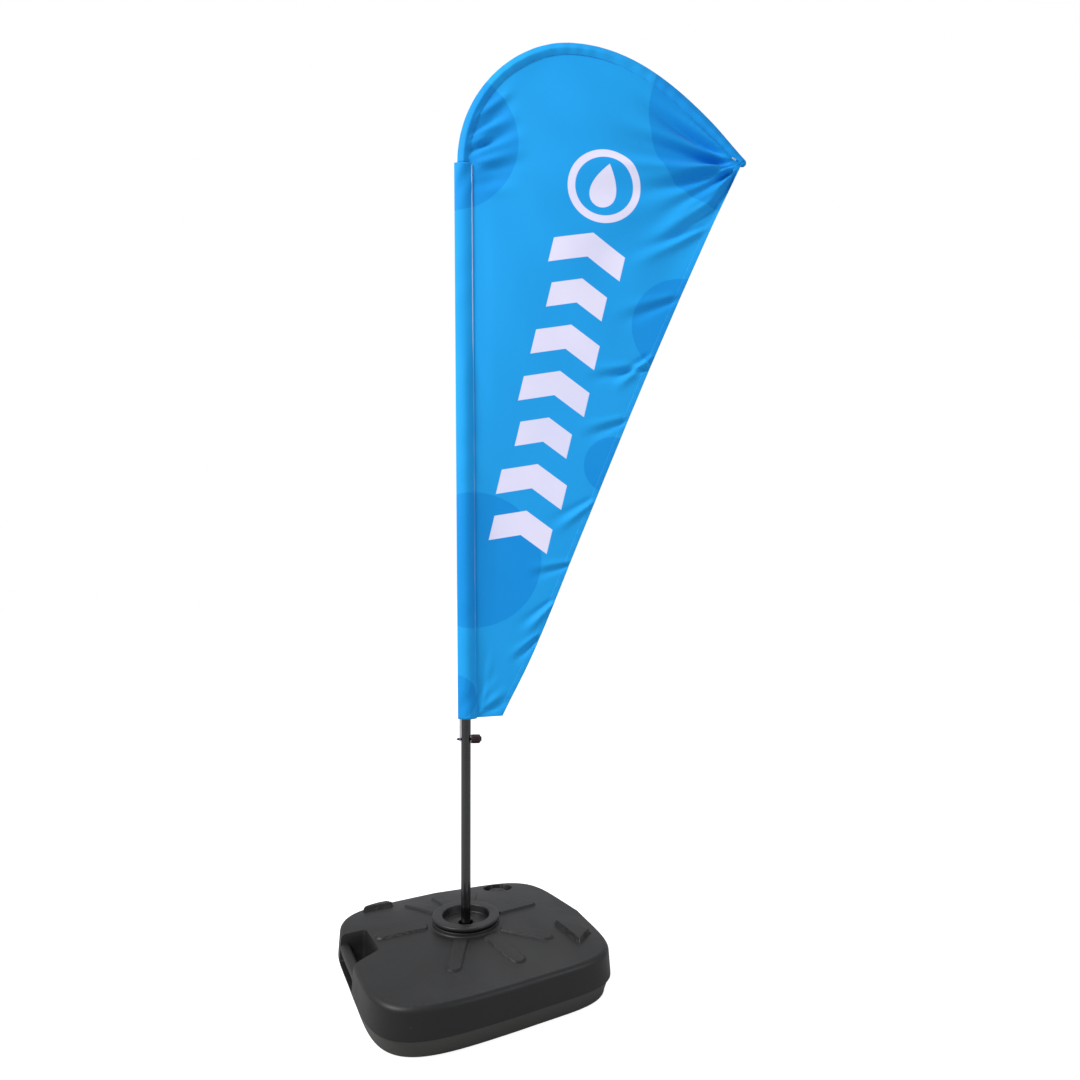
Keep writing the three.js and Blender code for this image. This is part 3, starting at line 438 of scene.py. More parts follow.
grip_across = GRIP_HALF_WIDTH * signed_power(np.cos(grip_turn), GRIP_SQUARENESS)
grip_up = GRIP_HALF_HEIGHT * signed_power(np.sin(grip_turn), GRIP_SQUARENESS)
grip_y = np.linspace(NOTCH_Y + GRIP_HALF_LENGTH, NOTCH_Y - GRIP_HALF_LENGTH, GRIP_STEPS)
side_x, side_y = to_rounded_square(HALF_LENGTH - 1.8 * MM, np.linspace(1.15, 0.75, 90) * math.pi)
grip_x = np.interp(grip_y, side_y, side_x)
grip_points = np.stack([
    grip_x[:, None] + GRIP_DEPTH + grip_across,
    np.broadcast_to(grip_y[:, None], (GRIP_STEPS, GRIP_SIDES)),
    np.broadcast_to(GRIP_Z + grip_up, (GRIP_STEPS, GRIP_SIDES)),
], -1)
grip_faces = grid_faces(GRIP_STEPS, GRIP_SIDES, True) + end_faces(GRIP_STEPS, GRIP_SIDES)
grip = mesh_piece("grip", grip_points, grip_faces)
neck_low_z = RECESS_FLOOR_Z - 2 * MM
neck_top_z = RECESS_FLOOR_Z + NECK_HEIGHT
neck_profile = [
    [NECK_BORE_R, neck_low_z],
    [NECK_R, neck_low_z],
    [NECK_R, neck_top_z - NECK_ROUNDING],
    [NECK_R - NECK_ROUNDING, neck_top_z],
    [NECK_BORE_R + NECK_ROUNDING, neck_top_z],
    [NECK_BORE_R, neck_top_z - NECK_ROUNDING],
]
neck = turned_piece("neck", neck_profile, 64, FILLER, closed=True)


def joined(piece, *others):
    """The piece with the others' meshes added to its own."""
    with bpy.context.temp_override(active_object=piece, selected_editable_objects=[piece, *others]):
        bpy.ops.object.join()


joined(tank, grip, neck)
tank.data.set_sharp_from_angle(angle=math.radians(48))


class Signal:
    """A socket of a material, with Python's operators adding the Math nodes."""

    def __init__(self, paint, socket):
        self.paint = paint
        self.socket = socket

    def maths(self, operation, *values):
        inputs = {place: value for place, value in enumerate((self, *values))}
        return self.paint.node("ShaderNodeMath", {"operation": operation}, inputs)

    def __add__(self, other):
        return self.maths("ADD", other)

    __radd__ = __add__

    def __mul__(self, other):
        return self.maths("MULTIPLY", other)

    __rmul__ = __mul__

    def __sub__(self, other):
        return self.maths("SUBTRACT", other)

    def __rsub__(self, other):
        return (self * -1) + other

    def __truediv__(self, other):
        return self.maths("DIVIDE", other)

    def __pow__(self, other):
        return self.maths("POWER", other)

    def __neg__(self):
        return self * -1

    def __abs__(self):
        return self.maths("ABSOLUTE")

    def sine(self):
        return self.maths("SINE")

    def root(self):
        return self.maths("SQRT")

    def floor(self):
        return self.maths("FLOOR")

    def least(self, other):
        return self.maths("MINIMUM", other)

    def most(self, other):
        return self.maths("MAXIMUM", other)

    def step(self, low, high):
        """0 below low, 1 above high, smooth between."""
        settings = {"interpolation_type": "SMOOTHSTEP"}
        inputs = {"Value": self, "From Min": low, "From Max": high}
        return self.paint.node("ShaderNodeMapRange", settings, inputs)


class Paint:
    """A material under construction round one Principled shader."""

    def __init__(self, name, **fixed):
        self.material = bpy.data.materials.new(name)
        self.material.use_nodes = True
        self.tree = self.material.node_tree
        self.shader = self.tree.nodes["Principled BSDF"]
        self.put(self.shader, fixed)

    def put(self, node, inputs):
        for name, value in inputs.items():
            socket = node.inputs[name.replace("_", " ") if isinstance(name, str) else name]
            if isinstance(value, Signal):
                self.tree.links.new(value.socket, socket)
            elif isinstance(value, tuple) and len(value) == 3 and socket.type == "RGBA":
                socket.default_value = (*value, 1)
            else:
                socket.default_value = value

    def node(self, kind, settings=None, inputs=None, output=0):
        """A node with its settings made first, then its inputs, as one of its outputs."""
        node = self.tree.nodes.new(kind)
        for name, value in (settings or {}).items():
            setattr(node, name, value)
        self.put(node, inputs or {})
        return Signal(self, node.outputs[output])

    def place(self):
        """Object coordinates, split to X, Y and Z."""
        coordinates = self.node("ShaderNodeTexCoord", output="Object")
        split = self.node("ShaderNodeSeparateXYZ", inputs={0: coordinates})
        return coordinates, [Signal(self, output) for output in split.socket.node.outputs]

    def noise(self, vector, scale, detail=2.0, roughness=0.5):
        inputs = {"Vector": vector, "Scale": scale, "Detail": detail, "Roughness": roughness}
        return self.node("ShaderNodeTexNoise", {}, inputs)

    def blend(self, share, first, second):
        """One colour turning to another as the share goes from 0 to 1."""
        settings = {"data_type": "RGBA"}
        return self.node("ShaderNodeMix", settings, {0: share, 6: first, 7: second}, 2)

    def bump(self, height, strength, distance):
        inputs = {"Height": height, "Strength": strength, "Distance": distance}
        return self.node("ShaderNodeBump", {}, inputs)

    def finish(self, **linked):
        self.put(self.shader, linked)
        return self.material


def moulded_plastic(name, color, pale, roughness, grain, bounce_lit_below=None):
    """Moulded plastic: a fine spark-eroded grain, faint cloudy patches where the skin cooled
    unevenly, and light dusty scuffs; below a height, if one is given, painted bounce light
    from the floor that takes the colour three quarters of the way to the pale one."""
    paint = Paint(name, IOR=1.41)
    where, (_, _, up) = paint.place()
    clouds = paint.noise(where, 14, 3).step(0.35, 0.7)
    scuffs = paint.noise(where, 95, 5, 0.7).step(0.6, 0.78) * 0.5
    share = scuffs * clouds
    # Painted bounce light: below the given height the colour goes three quarters of the way to the pale
    # one, standing in for light thrown up from the floor.
    if bounce_lit_below:
        share = share.most(0.75 - 0.75 * up.step(bounce_lit_below, bounce_lit_below + 0.001))
    color_out = paint.blend(share, color, pale)
    fine = paint.noise(where, 1500, 2)
    coarse = paint.noise(where, 420, 2)
    texture = paint.bump(fine * 0.6 + coarse * 0.4, grain, 0.0002)
    rough = clouds * 0.07 + scuffs * 0.12 + roughness
    return paint.finish(Base_Color=color_out, Roughness=rough, Normal=texture)


tank.data.materials.clear()
# The tank's pale colour serves its random dusty scuffs and also the painted bounce light below the
# parting line, and was made paler for the latter.
TANK_BLACK, TANK_DUST_AND_BOUNCE_LIGHT = (0.008, 0.008, 0.0085), (0.056, 0.054, 0.050)
tank_finish = moulded_plastic("tank_finish", TANK_BLACK, TANK_DUST_AND_BOUNCE_LIGHT, 0.45, 0.5, PARTING_Z)
tank.data.materials.append(tank_finish)
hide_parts("base_tank")
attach(tank, "base")

# ---- Filler cap and its gasket -------------------------------------------------------------------
# A screw cap of black polypropylene with finger lobes and a dished top, screwed down on a rubber
# washer that lies on the neck.
LOBES = 16
cap_turn = around(LOBES * 12)
cap_wave = (0.5 - 0.5 * np.cos(LOBES * cap_turn)) ** 1.5
cap_rows = [
    # [radius, height below the top, share of the lobes]
    [17.5, -12, 0], [21.2, -12, 0.8], [22, -11.2, 1], [22, -2, 1], [21.6, -0.9, 0.9], [20.8, -0.3, 0.6],
    [19.6, 0, 0.2], [13.6, 0, 0], [13, -0.3, 0], [12.4, -0.9, 0], [6, -1, 0], [3, -1, 0],
    [2.4, -0.5, 0], [0.01, -0.4, 0],
]
cap_rows = np.array(cap_rows)
cap_radius = (cap_rows[:, 0:1] - 1.2 * cap_rows[:, 2:3] * cap_wave) * MM
cap_points = np.stack([
    FILLER[0] + cap_radius * np.cos(cap_turn),
    FILLER[1] + cap_radius * np.sin(cap_turn),
    np.broadcast_to(cap_high.z + cap_rows[:, 1:2] * MM, cap_radius.shape),
], -1)
skirt_rows = np.array([[0.01, -3.1], [17.5, -3.1]])
skirt_points = np.stack([
    FILLER[0] + skirt_rows[:, 0:1] * MM * np.cos(cap_turn),
    FILLER[1] + skirt_rows[:, 0:1] * MM * np.sin(cap_turn),
    np.broadcast_to(cap_high.z + skirt_rows[:, 1:2] * MM, (2, len(cap_turn))),
], -1)
cap_points = np.concatenate([skirt_points, cap_points])
cap_sides = len(cap_turn)
cap_faces = grid_faces(len(cap_points), cap_sides, True) + end_faces(len(cap_points), cap_sides)
cap = mesh_piece("cap", cap_points, cap_faces)
cap.data.set_sharp_from_angle(angle=math.radians(50))
cap_finish = moulded_plastic("cap_finish", (0.012, 0.012, 0.013), (0.03, 0.03, 0.03), 0.4, 0.3)
cap.data.materials.append(cap_finish)
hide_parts("fill_cap")
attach(cap, "cap")

# ---- Socket --------------------------------------------------------------------------------------
# One injection moulding: a rounded collar on the boss, a cup in it with a hole for the pole, and a
# tube down the well. The collar's underside leaves a shadow groove above the boss.
top_z = socket_high.z
TUBE_LOW, TUBE_FLOOR = 30 - top_z / MM, 35 - top_z / MM
socket_profile = np.array([
    [18.3, TUBE_LOW], [18.3, -20.0], [53, -20.0], [53, -10.0], [63, -10.0], [63, -8.0],
    [66.4, -8.0], [68.2, -7.2], [69, -5.6], [69, -3.4], [68.6, -1.9], [67.6, -0.7], [66, -0.1],
    [64.5, 0],
    [58, -0.15], [51, 0], [49.6, -0.2], [48.6, -0.8], [48, -2], [48, -14.4], [47.3, -15.6], [46, -16],
    [30, -16.2], [16, -16], [15, -16.5], [14.8, -17.5], [14.8, TUBE_FLOOR], [4.3, TUBE_FLOOR],
    [4.3, TUBE_LOW],
]) * MM
socket_profile[:, 1] += top_z
socket = turned_piece("socket", socket_profile, 144, closed=True)
socket.data.set_sharp_from_angle(angle=math.radians(55))
SOCKET_BLACK, SOCKET_DUST = (0.012, 0.012, 0.013), (0.026, 0.026, 0.025)
socket.data.materials.append(moulded_plastic("socket_finish", SOCKET_BLACK, SOCKET_DUST, 0.38, 0.25))
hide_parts("socket_insert")
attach(socket, "base")


# ---- Spindle, bearings and rotor -----------------------------------------------------------------
# Turned steel parts and the black acetal sleeve that turns on them, all inside the pole and the
# tank. Their shapes are the frame's own.
def turned_steel(name):
    """Machined steel with fine rings round the upright axis."""
    paint = Paint(name, Metallic=1.0)
    where, (_, _, up) = paint.place()
    rings = paint.noise(paint.node("ShaderNodeCombineXYZ", inputs={2: up * 4000}), 1.0, 1)
    smudge = paint.noise(where, 60, 2)
    color = paint.blend(smudge.step(0.3, 0.8), (0.60, 0.61, 0.63), (0.45, 0.46, 0.48))
    texture = paint.bump(rings, 0.25, 0.0001)
    return paint.finish(Base_Color=color, Roughness=smudge * 0.2 + 0.22, Normal=texture)


steel_finish = turned_steel("steel_finish")
sleeve_finish = moulded_plastic("sleeve_finish", (0.02, 0.02, 0.022), (0.05, 0.05, 0.05), 0.35, 0.2)


def rubber(name):
    """Matt black rubber, dusty in patches."""
    paint = Paint(name)
    where, _ = paint.place()
    dust = paint.noise(where, 80, 4).step(0.5, 0.8)
    color = paint.blend(dust, (0.018, 0.018, 0.018), (0.06, 0.057, 0.052))
    texture = paint.bump(paint.noise(where, 900, 2), 0.3, 0.0001)
    return paint.finish(Base_Color=color, Roughness=dust * 0.1 + 0.75, Normal=texture)


rubber_finish = rubber("rubber_finish")


def finish_node(node, material):
    piece = frame["nodes"][node]
    piece.data.materials.clear()
    piece.data.materials.append(material)


steel_nodes = ["spindle", "spindle_washer", "spindle_nut", "thrust_washer", "lower_bearing"]
steel_nodes += ["upper_bearing", "bearing_spacer", "retaining_clip"]
for node in steel_nodes:
    finish_node(node, steel_finish)
for node in ["rotor_sleeve", "ferrule_lower", "ferrule_upper"]:
    finish_node(node, sleeve_finish)
for node in ["fill_gasket", "rod_tip"]:
    finish_node(node, rubber_finish)


# ---- Pole ----------------------------------------------------------------------------------------
# Two black anodised aluminium tubes joined by a ferrule, and a tapered glass-fibre rod above them
# that bends over to the tip.
def gloss_tube(name):
    """Black anodised tube: faint lengthwise drawing lines and a hard clear gloss."""
    paint = Paint(name, IOR=1.5, Coat_IOR=1.5)
    where, (x, y, up) = paint.place()
    stretched = paint.node("ShaderNodeMapping", inputs={"Vector": where, "Scale": (1, 1, 0.02)})
    drawn = paint.noise(stretched, 900, 2)
    wear = paint.noise(where, 30, 4).step(0.45, 0.8)
    color = paint.blend(wear * 0.6, (0.004, 0.004, 0.005), (0.012, 0.011, 0.011))
    texture = paint.bump(drawn, 0.12, 0.0001)
    return paint.finish(Base_Color=color, Roughness=wear * 0.12 + 0.2, Coat_Weight=0.8, Normal=texture)


tube_finish = gloss_tube("tube_finish")
POLE_R = 10 * MM
POLE_BORE_R = 8.8 * MM
pole_low, pole_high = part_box("pole_lower")
POLE_STEPS = 60
pole_z = np.linspace(pole_low.z + 0.5 * MM, pole_high.z - 0.5 * MM, POLE_STEPS)
pole_profile = np.concatenate([
    [[POLE_BORE_R, pole_low.z], [POLE_R - 0.4 * MM, pole_low.z]],
    np.stack([np.full(POLE_STEPS, POLE_R), pole_z], 1),
    [[POLE_R - 0.4 * MM, pole_high.z], [POLE_BORE_R, pole_high.z]],
])
pole = turned_piece("pole_tube", pole_profile, 72, closed=True)
pole.data.set_sharp_from_angle(angle=math.radians(50))
pole.data.materials.append(tube_finish)
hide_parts("pole_lower")
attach(pole, "flag")
finish_node("pole_middle", tube_finish)


def glass_fibre(name):
    """Dark glass-fibre rod with the fibres running along it."""
    paint = Paint(name, IOR=1.5)
    where, _ = paint.place()
    fibres = paint.noise(where, 1400, 3)
    color = paint.blend(fibres.step(0.4, 0.7), (0.02, 0.02, 0.022), (0.05, 0.05, 0.052))
    texture = paint.bump(fibres, 0.2, 0.0001)
    return paint.finish(Base_Color=color, Roughness=fibres * 0.2 + 0.3, Normal=texture)


finish_node("pole_rod", glass_fibre("rod_finish"))

# ---- Sail cloth ----------------------------------------------------------------------------------
# Knitted polyester flag cloth, dyed bright blue and printed with large darker discs and with a
# column of pale chevrons under a ringed drop. The print lies in the sail's plane.
BLUE = (0.010, 0.322, 0.765)
DEEP_BLUE = (0.004, 0.255, 0.690)
PALE = (0.76, 0.73, 0.93)
DISCS = [
    # across and up in the sail's plane, radius, in mm
    (-40, 1731, 148), (593, 1807, 208), (451, 1352, 104), (305, 1058, 60), (16, 861, 140),
    (-23, 579, 46),
]
PRINT_FOOT = (104, 876)
PRINT_LEAN = math.radians(13.5)
CHEVRON_PITCH = 100
CHEVRONS = 7


def printed_cloth(name, scale_to_mm=1000.0):
    """The cloth's print as shares of colour, its knit as two crossed sets of fine ridges, and a
    soft sheen. Discs are distances from their middles; the chevrons are one shape repeated along
    the print's leaning axis."""
    paint = Paint(name, Sheen_Weight=0.06, Sheen_Roughness=0.4, IOR=1.25)
    paint.put(paint.shader, {"Sheen_Tint": (0.6, 0.85, 1.0)})
    where, (x, y, z) = paint.place()
    cos, sin = math.cos(SAIL_TURN) * scale_to_mm, math.sin(SAIL_TURN) * scale_to_mm
    across = x * cos + y * sin
    up = z * scale_to_mm
    discs = None
    for disc_x, disc_z, radius in DISCS:
        away = ((across - disc_x) ** 2 + (up - disc_z) ** 2).root()
        inside = 1 - away.step(radius - 0.8, radius + 0.8)
        discs = inside if discs is None else discs.most(inside)
    lean_cos, lean_sin = math.cos(PRINT_LEAN), math.sin(PRINT_LEAN)
    off_x = across - PRINT_FOOT[0]
    off_z = up - PRINT_FOOT[1]
    along = off_x * lean_sin + off_z * lean_cos
    beside = off_x * lean_cos - off_z * lean_sin
    number = (along / CHEVRON_PITCH).floor()
    inner = along - (number + 0.5) * CHEVRON_PITCH + abs(beside) * 0.42 - 14
    reach = (number * 2.3).sine() * 9 + 62 + number * 1.2
    bar = (reach - abs(beside)).least(26 - abs(inner))
    in_range = (number + 0.5).step(0, 0.01) * (1 - (number - CHEVRONS + 0.5).step(0, 0.01))
    chevrons = bar.step(-0.5, 0.5) * in_range
    drop_up = along - (CHEVRONS * CHEVRON_PITCH + 92)
    from_ring = (drop_up**2 + beside**2).root()
    ring = (8 - abs(from_ring - 70)).step(-0.5, 0.5)
    share = ((drop_up + 46) / 96).most(0).least(1)
    half_width = share.root() * (1 - share) * 76
    drop = (half_width - abs(beside) - 1).step(-0.5, 0.5)
    pale = chevrons.most(ring).most(drop)
    print_color = paint.blend(pale, paint.blend(discs, BLUE, DEEP_BLUE), PALE)
    fading = paint.noise(where, 5, 3).step(0.3, 0.75)
    color = paint.blend(fading * 0.10, print_color, (0.02, 0.36, 0.80))
    knit = ((across * 4.2).sine() * (up * 3.1).sine()) * 0.5 + 0.5
    thread = paint.noise(where, 900, 2)
    texture = paint.bump(knit * 0.6 + thread * 0.4, 0.35, 0.0003)
    return paint.finish(Base_Color=color, Roughness=thread * 0.12 + 0.62, Normal=texture)


cloth_finish = printed_cloth("cloth_finish")


# ---- The sail's outline --------------------------------------------------------------------------
# The rod's arch is two curves that meet level at its top; the leech is a smooth line through a few
# points. Everything here is in millimetres in the sail's plane, X across and Z up.
def bezier(points, count):
    """A cubic curve through its two end points with its two handles."""
    start, first, second, end = np.array(points, float)
    share = np.linspace(0, 1, count)[:, None]
    rest = 1 - share
    return rest**3 * start + 3 * rest**2 * share * first + 3 * rest * share**2 * second + share**3 * end


def smooth_line(points, per_span=40):
    """A Catmull-Rom curve through points, with its ends mirrored."""
    points = np.array(points, float)
    padded = np.concatenate([[2 * points[0] - points[1]], points, [2 * points[-1] - points[-2]]])
    share = np.linspace(0, 1, per_span, endpoint=False)[:, None]
    spans = []
    for before, start, end, after in zip(padded, padded[1:], padded[2:], padded[3:]):
        straight = (end - before) * share + (2 * before - 5 * start + 4 * end - after) * share**2
        spans.append(start + 0.5 * (straight + (3 * (start - end) + after - before) * share**3))
    return np.concatenate([*spans, points[-1:]])


def evenly(line, count):
    """A line's points spread evenly along its length."""
    steps = np.linalg.norm(np.diff(line, axis=0), axis=1)
    length = np.concatenate([[0], np.cumsum(steps)])
    wanted = np.linspace(0, length[-1], count)
    return np.stack([np.interp(wanted, length, axis) for axis in line.T], 1)


def directions_of(line):
    """Unit directions along a line, and to its right."""
    along = unit(np.gradient(line, axis=0))
    return along, np.stack([along[:, 1], -along[:, 0]], 1)


FOOT_Z, STRAIGHT_TOP_Z = 534, 1684
ARCH_TOP = (218, 1934)
TIP = (586, 1708)
STRAIGHT_HALF, CURVED_HALF = 19.5, 13
LEAN_FOOT, LEAN_TOP = 3, -6
arch = np.concatenate([
    bezier([(-6, 1684.3), (-6, 1684.3 + 0.57 * 249.7), (-6 + 112, 1934), ARCH_TOP], 80)[:-1],
    bezier([ARCH_TOP, (218 + 0.42 * 368, 1934), (218 + 0.71 * 368, 1708 + 0.48 * 226), TIP], 100),
])
ARCH_STEPS = 260
arch_line = evenly(arch, ARCH_STEPS)
arch_along, arch_right = directions_of(arch_line)
arch_share = np.linspace(0, 1, ARCH_STEPS)[:, None]
arch_half = CURVED_HALF * (1 - 0.28 * smooth_step(arch_share, 0.86, 1))
FOOT_RIGHT = (75.5, FOOT_Z + 5)
SEAM_LAP = 4  # of the panel under each sleeve's seam
LEECH_SHARES = [(0.25, 0.128), (0.415, 0.33), (0.63, 0.59), (0.85, 0.84)]
leech = smooth_line([
    FOOT_RIGHT,
    *[(x * TIP[0], FOOT_Z + z * (TIP[1] - FOOT_Z)) for x, z in LEECH_SHARES],
    (TIP[0] - 3, TIP[1] - 8),
])


def sleeve_middle(z):
    """Where the straight sleeve's middle is at a height: it leans back a little."""
    return LEAN_FOOT + (LEAN_TOP - LEAN_FOOT) * (z - FOOT_Z) / (STRAIGHT_TOP_Z - FOOT_Z)


def bell(value, middle, width):
    return np.exp(-(((value - middle) / width) ** 2))


def crease(x, z, start, end, depth, width):
    """A fold that runs from one point to another, deepest where it starts and fading to its end."""
    start, end = np.array(start, float), np.array(end, float)
    length = np.linalg.norm(end - start)
    along = ((x - start[0]) * (end[0] - start[0]) + (z - start[1]) * (end[1] - start[1])) / length
    off = ((x - start[0]) * (end[1] - start[1]) - (z - start[1]) * (end[0] - start[0])) / length
    fade = smooth_step(along, -0.12 * length, 0.1 * length)
    fade = fade * (1 - smooth_step(along, 0.35 * length, length))
    spread = width * (0.5 + 0.8 * np.clip(along / length, 0, 1))
    ridge = np.exp(-((off / spread) ** 2)) - 0.55 * np.exp(-(((off - 1.7 * spread) / spread) ** 2))
    return 1.9 * depth * fade * ridge


CREASES = [
    # start, end, depth and width of each fold, in mm
    ((566, 1700), (300, 1770), 5.0, 13), ((566, 1706), (345, 1845), 5.5, 12),
    ((562, 1712), (410, 1862), -5.0, 10), ((560, 1692), (250, 1702), -3.6, 14),
    ((558, 1684), (330, 1630), 4.2, 14), ((548, 1668), (400, 1560), -3.2, 12),
    ((-14, 1700), (130, 1775), 3.6, 11), ((-14, 1668), (140, 1722), -3.4, 12),
    ((-10, 1738), (110, 1812), 3.2, 9), ((2, 1768), (110, 1850), -2.6, 9),
    ((-12, 1640), (120, 1660), 2.6, 14), ((-16, 1716), (90, 1752), -2.6, 7),
    ((520, 1610), (380, 1500), 3.4, 14), ((500, 1560), (330, 1475), -3.0, 12),
    ((440, 1410), (300, 1352), 2.6, 13), ((386, 1285), (300, 1210), -3.4, 9),
    ((376, 1262), (240, 1236), 3.0, 10), ((330, 1150), (230, 1110), 2.4, 11),
    ((262, 980), (170, 912), -2.4, 10), ((214, 850), (120, 822), 2.2, 9),
    ((180, 770), (110, 700), -2.6, 9), ((-8, 538), (60, 640), 3.4, 9),
    ((10, 538), (95, 600), -3.0, 9), ((24, 540), (40, 700), 2.2, 8),
    ((150, 700), (90, 640), 2.4, 8),
]


def billow(x, z):
    """How far the cloth stands out of the sail's plane: a slow swell between its edges, a fan of
    folds from the tip, and single creases."""
    swell = 5.0 * np.sin(x / 150 + z / 420) * bell(z, 1300, 520) + 1.6 * np.sin(x / 61 - z / 133 + 0.8)
    swell = swell + 0.55 * np.sin(x / 23 + z / 37 + 1.4 * np.sin(z / 90))
    from_tip = np.hypot(x - TIP[0], z - TIP[1]) + 1
    angle = np.arctan2(z - TIP[1], TIP[0] - x)
    fan_folds = np.sin(17 * angle + 0.6 * np.sin(from_tip / 60)) * np.exp(-from_tip / 150)
    total = swell + 8.0 * fan_folds * smooth_step(from_tip, 0, 60)
    for start, end, depth, width in CREASES:
        total = total + crease(x, z, start, end, depth, width)
    return total


def from_arch(x, z):
    """Distance from the arch's middle line, in mm."""
    line = arch[::4]
    flat = np.stack([np.ravel(x), np.ravel(z)], 1)
    away = np.sqrt(((flat[:, None] - line[None]) ** 2).sum(-1)).min(1)
    return away.reshape(np.shape(x))


def cloth_offset(x, z):
    """The billow, held to nothing where the cloth is sewn to its sleeves."""
    beside_sleeve = smooth_step(x - sleeve_middle(z) - STRAIGHT_HALF, -8, 46) + (z > STRAIGHT_TOP_Z)
    free = np.minimum(beside_sleeve, 1) * (0.3 + 0.7 * smooth_step(from_arch(x, z), 10, 40))
    near_tip = smooth_step(np.hypot(x - TIP[0], z - TIP[1]), 4, 40)
    return billow(x, z) * free * near_tip


# ---- Sail panel ----------------------------------------------------------------------------------
# One sheet between the sleeves, the leech and the foot. Its rows run from the sleeve's side to the
# leech and shrink to nothing at the tip.
PANEL_ROWS, PANEL_COLUMNS = 300, 150
CLOTH_HALF = 0.3
straight_z = np.linspace(FOOT_Z + 2, STRAIGHT_TOP_Z - 3, 60)
narrowed = smooth_step(straight_z, STRAIGHT_TOP_Z - 95, STRAIGHT_TOP_Z - 3)
straight_x = sleeve_middle(straight_z) + STRAIGHT_HALF - SEAM_LAP
straight_x = straight_x - (STRAIGHT_HALF - CURVED_HALF) * narrowed
straight_edge = np.stack([straight_x, straight_z], 1)
arch_edge = arch_line + arch_right * (arch_half - SEAM_LAP)
luff = evenly(np.concatenate([straight_edge, arch_edge]), PANEL_ROWS)
leech_rows = evenly(leech, PANEL_ROWS)
share = np.linspace(0, 1, PANEL_COLUMNS)[None, :, None]
panel_flat = luff[:, None] * (1 - share) + leech_rows[:, None] * share
panel_x, panel_z = panel_flat[..., 0], panel_flat[..., 1]
panel_y = cloth_offset(panel_x, panel_z)


def two_faced(name, x, y, z, half):
    """A sheet of cloth with a front and a back face and closed edges, from a grid in mm."""
    rows, columns = x.shape
    front = np.stack([x, y - half, z], -1).reshape(-1, 3)
    back = np.stack([x, y + half, z], -1).reshape(-1, 3)
    face = np.array(grid_faces(rows, columns, False))
    count = rows * columns
    number = np.arange(count).reshape(rows, columns)
    edge = np.concatenate([number[0, :-1], number[:-1, -1], number[-1, :0:-1], number[:0:-1, 0]])
    following = np.roll(edge, -1)
    rim = np.stack([following, edge, edge + count, following + count], 1)
    faces = np.concatenate([face, face[:, ::-1] + count, rim])
    return mesh_piece(name, in_sail_plane(np.concatenate([front, back]) * MM), faces.tolist())


panel = two_faced("sail_cloth", panel_x, panel_y, panel_z, CLOTH_HALF)
panel.data.materials.append(cloth_finish)
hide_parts("sail_panel")
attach(panel, "flag")

# ---- Sleeves -------------------------------------------------------------------------------------
# A pocket for the pole down the straight side and a narrower one round the arch, each two layers of
# the cloth sewn along both edges. The straight one wraps the pole and lies flatter above it.


SLEEVE_AROUND = 72
SLEEVE_UP = 300
sleeve_z = np.linspace(FOOT_Z, STRAIGHT_TOP_Z, SLEEVE_UP)[:, None]
held_r = 11.6 - 2.2 * smooth_step(sleeve_z, 640, 760) - 4.0 * smooth_step(sleeve_z, 1230, 1330)
turn = around(SLEEVE_AROUND)[None, :]


def pocket_bulge(turn, flank, edge=1.0):
    """Share of a pocket's half thickness round its section: full over what it holds, nothing at
    its two seams, and negative on the back."""
    return (1 - np.abs(np.cos(turn)) ** flank) ** edge * np.sign(np.sin(turn) + 1e-9)


sleeve_x = sleeve_middle(sleeve_z) + STRAIGHT_HALF * np.cos(turn)
ripple = 0.45 * np.sin(sleeve_z / 19 + 2 * np.sin(sleeve_z / 57)) * np.abs(np.sin(turn))
top_drag = 1.4 * np.sin((sleeve_z - 1.6 * sleeve_x) / 13) * bell(sleeve_z, 1668, 46)
foot_drag = 1.2 * np.sin((sleeve_z - 1.1 * sleeve_x) / 11) * bell(sleeve_z, 566, 40)
drag = (top_drag + foot_drag) * np.abs(np.sin(turn))
SLEEVE_THICKEST = 11.8
sleeve_y = pocket_bulge(turn, 1.8, 0.8) * held_r + ripple + drag
sleeve_y = np.clip(sleeve_y, -SLEEVE_THICKEST, SLEEVE_THICKEST)


def pocket(name, x, y, z, wall):
    """An open tube of cloth from a grid in mm, given its wall inwards."""
    points = np.stack(np.broadcast_arrays(x, y, z), -1)
    faces = grid_faces(*points.shape[:2], True)
    piece = mesh_piece(name, in_sail_plane(points * MM), faces)
    thickness = piece.modifiers.new("wall", "SOLIDIFY")
    thickness.thickness = wall * MM
    thickness.offset = -1
    return piece


SLEEVE_WALL = 0.6
straight_sleeve = pocket("pole_sleeve", sleeve_x, sleeve_y, sleeve_z, SLEEVE_WALL)
straight_sleeve.data.materials.append(cloth_finish)
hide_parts("sleeve_straight")
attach(straight_sleeve, "flag")

TUBE_AROUND = 48
ARCH_LENGTH = 830
turn = around(TUBE_AROUND)
across = arch_half * np.cos(turn)
at_cap = smooth_step(arch_share, 0.88, 0.96)
through = (5.3 + 1.1 * at_cap) * pocket_bulge(turn, 1.25 + 0.85 * at_cap)
tube_x = arch_line[:, 0:1] + arch_right[:, 0:1] * across
tube_z = arch_line[:, 1:2] + arch_right[:, 1:2] * across
arch_length = ARCH_LENGTH * arch_share
follow = smooth_step(arch_length, 6, 60) * smooth_step(ARCH_LENGTH - 10 - arch_length, 0, 40)
follow = smooth_step(across, 3, CURVED_HALF) * follow
tube_y = through + np.clip(billow(tube_x, tube_z) * 0.35 * follow, -1.6, 1.6)
gather = 0.4 * np.sin(arch_length / 5.5 + 1.5 * np.sin(arch_length / 31)) * np.abs(np.sin(turn))
curved_sleeve = pocket("rod_sleeve", tube_x, tube_y + gather * np.sign(through), tube_z, SLEEVE_WALL)
curved_sleeve.data.materials.append(cloth_finish)
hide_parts("sleeve_curved")
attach(curved_sleeve, "flag")

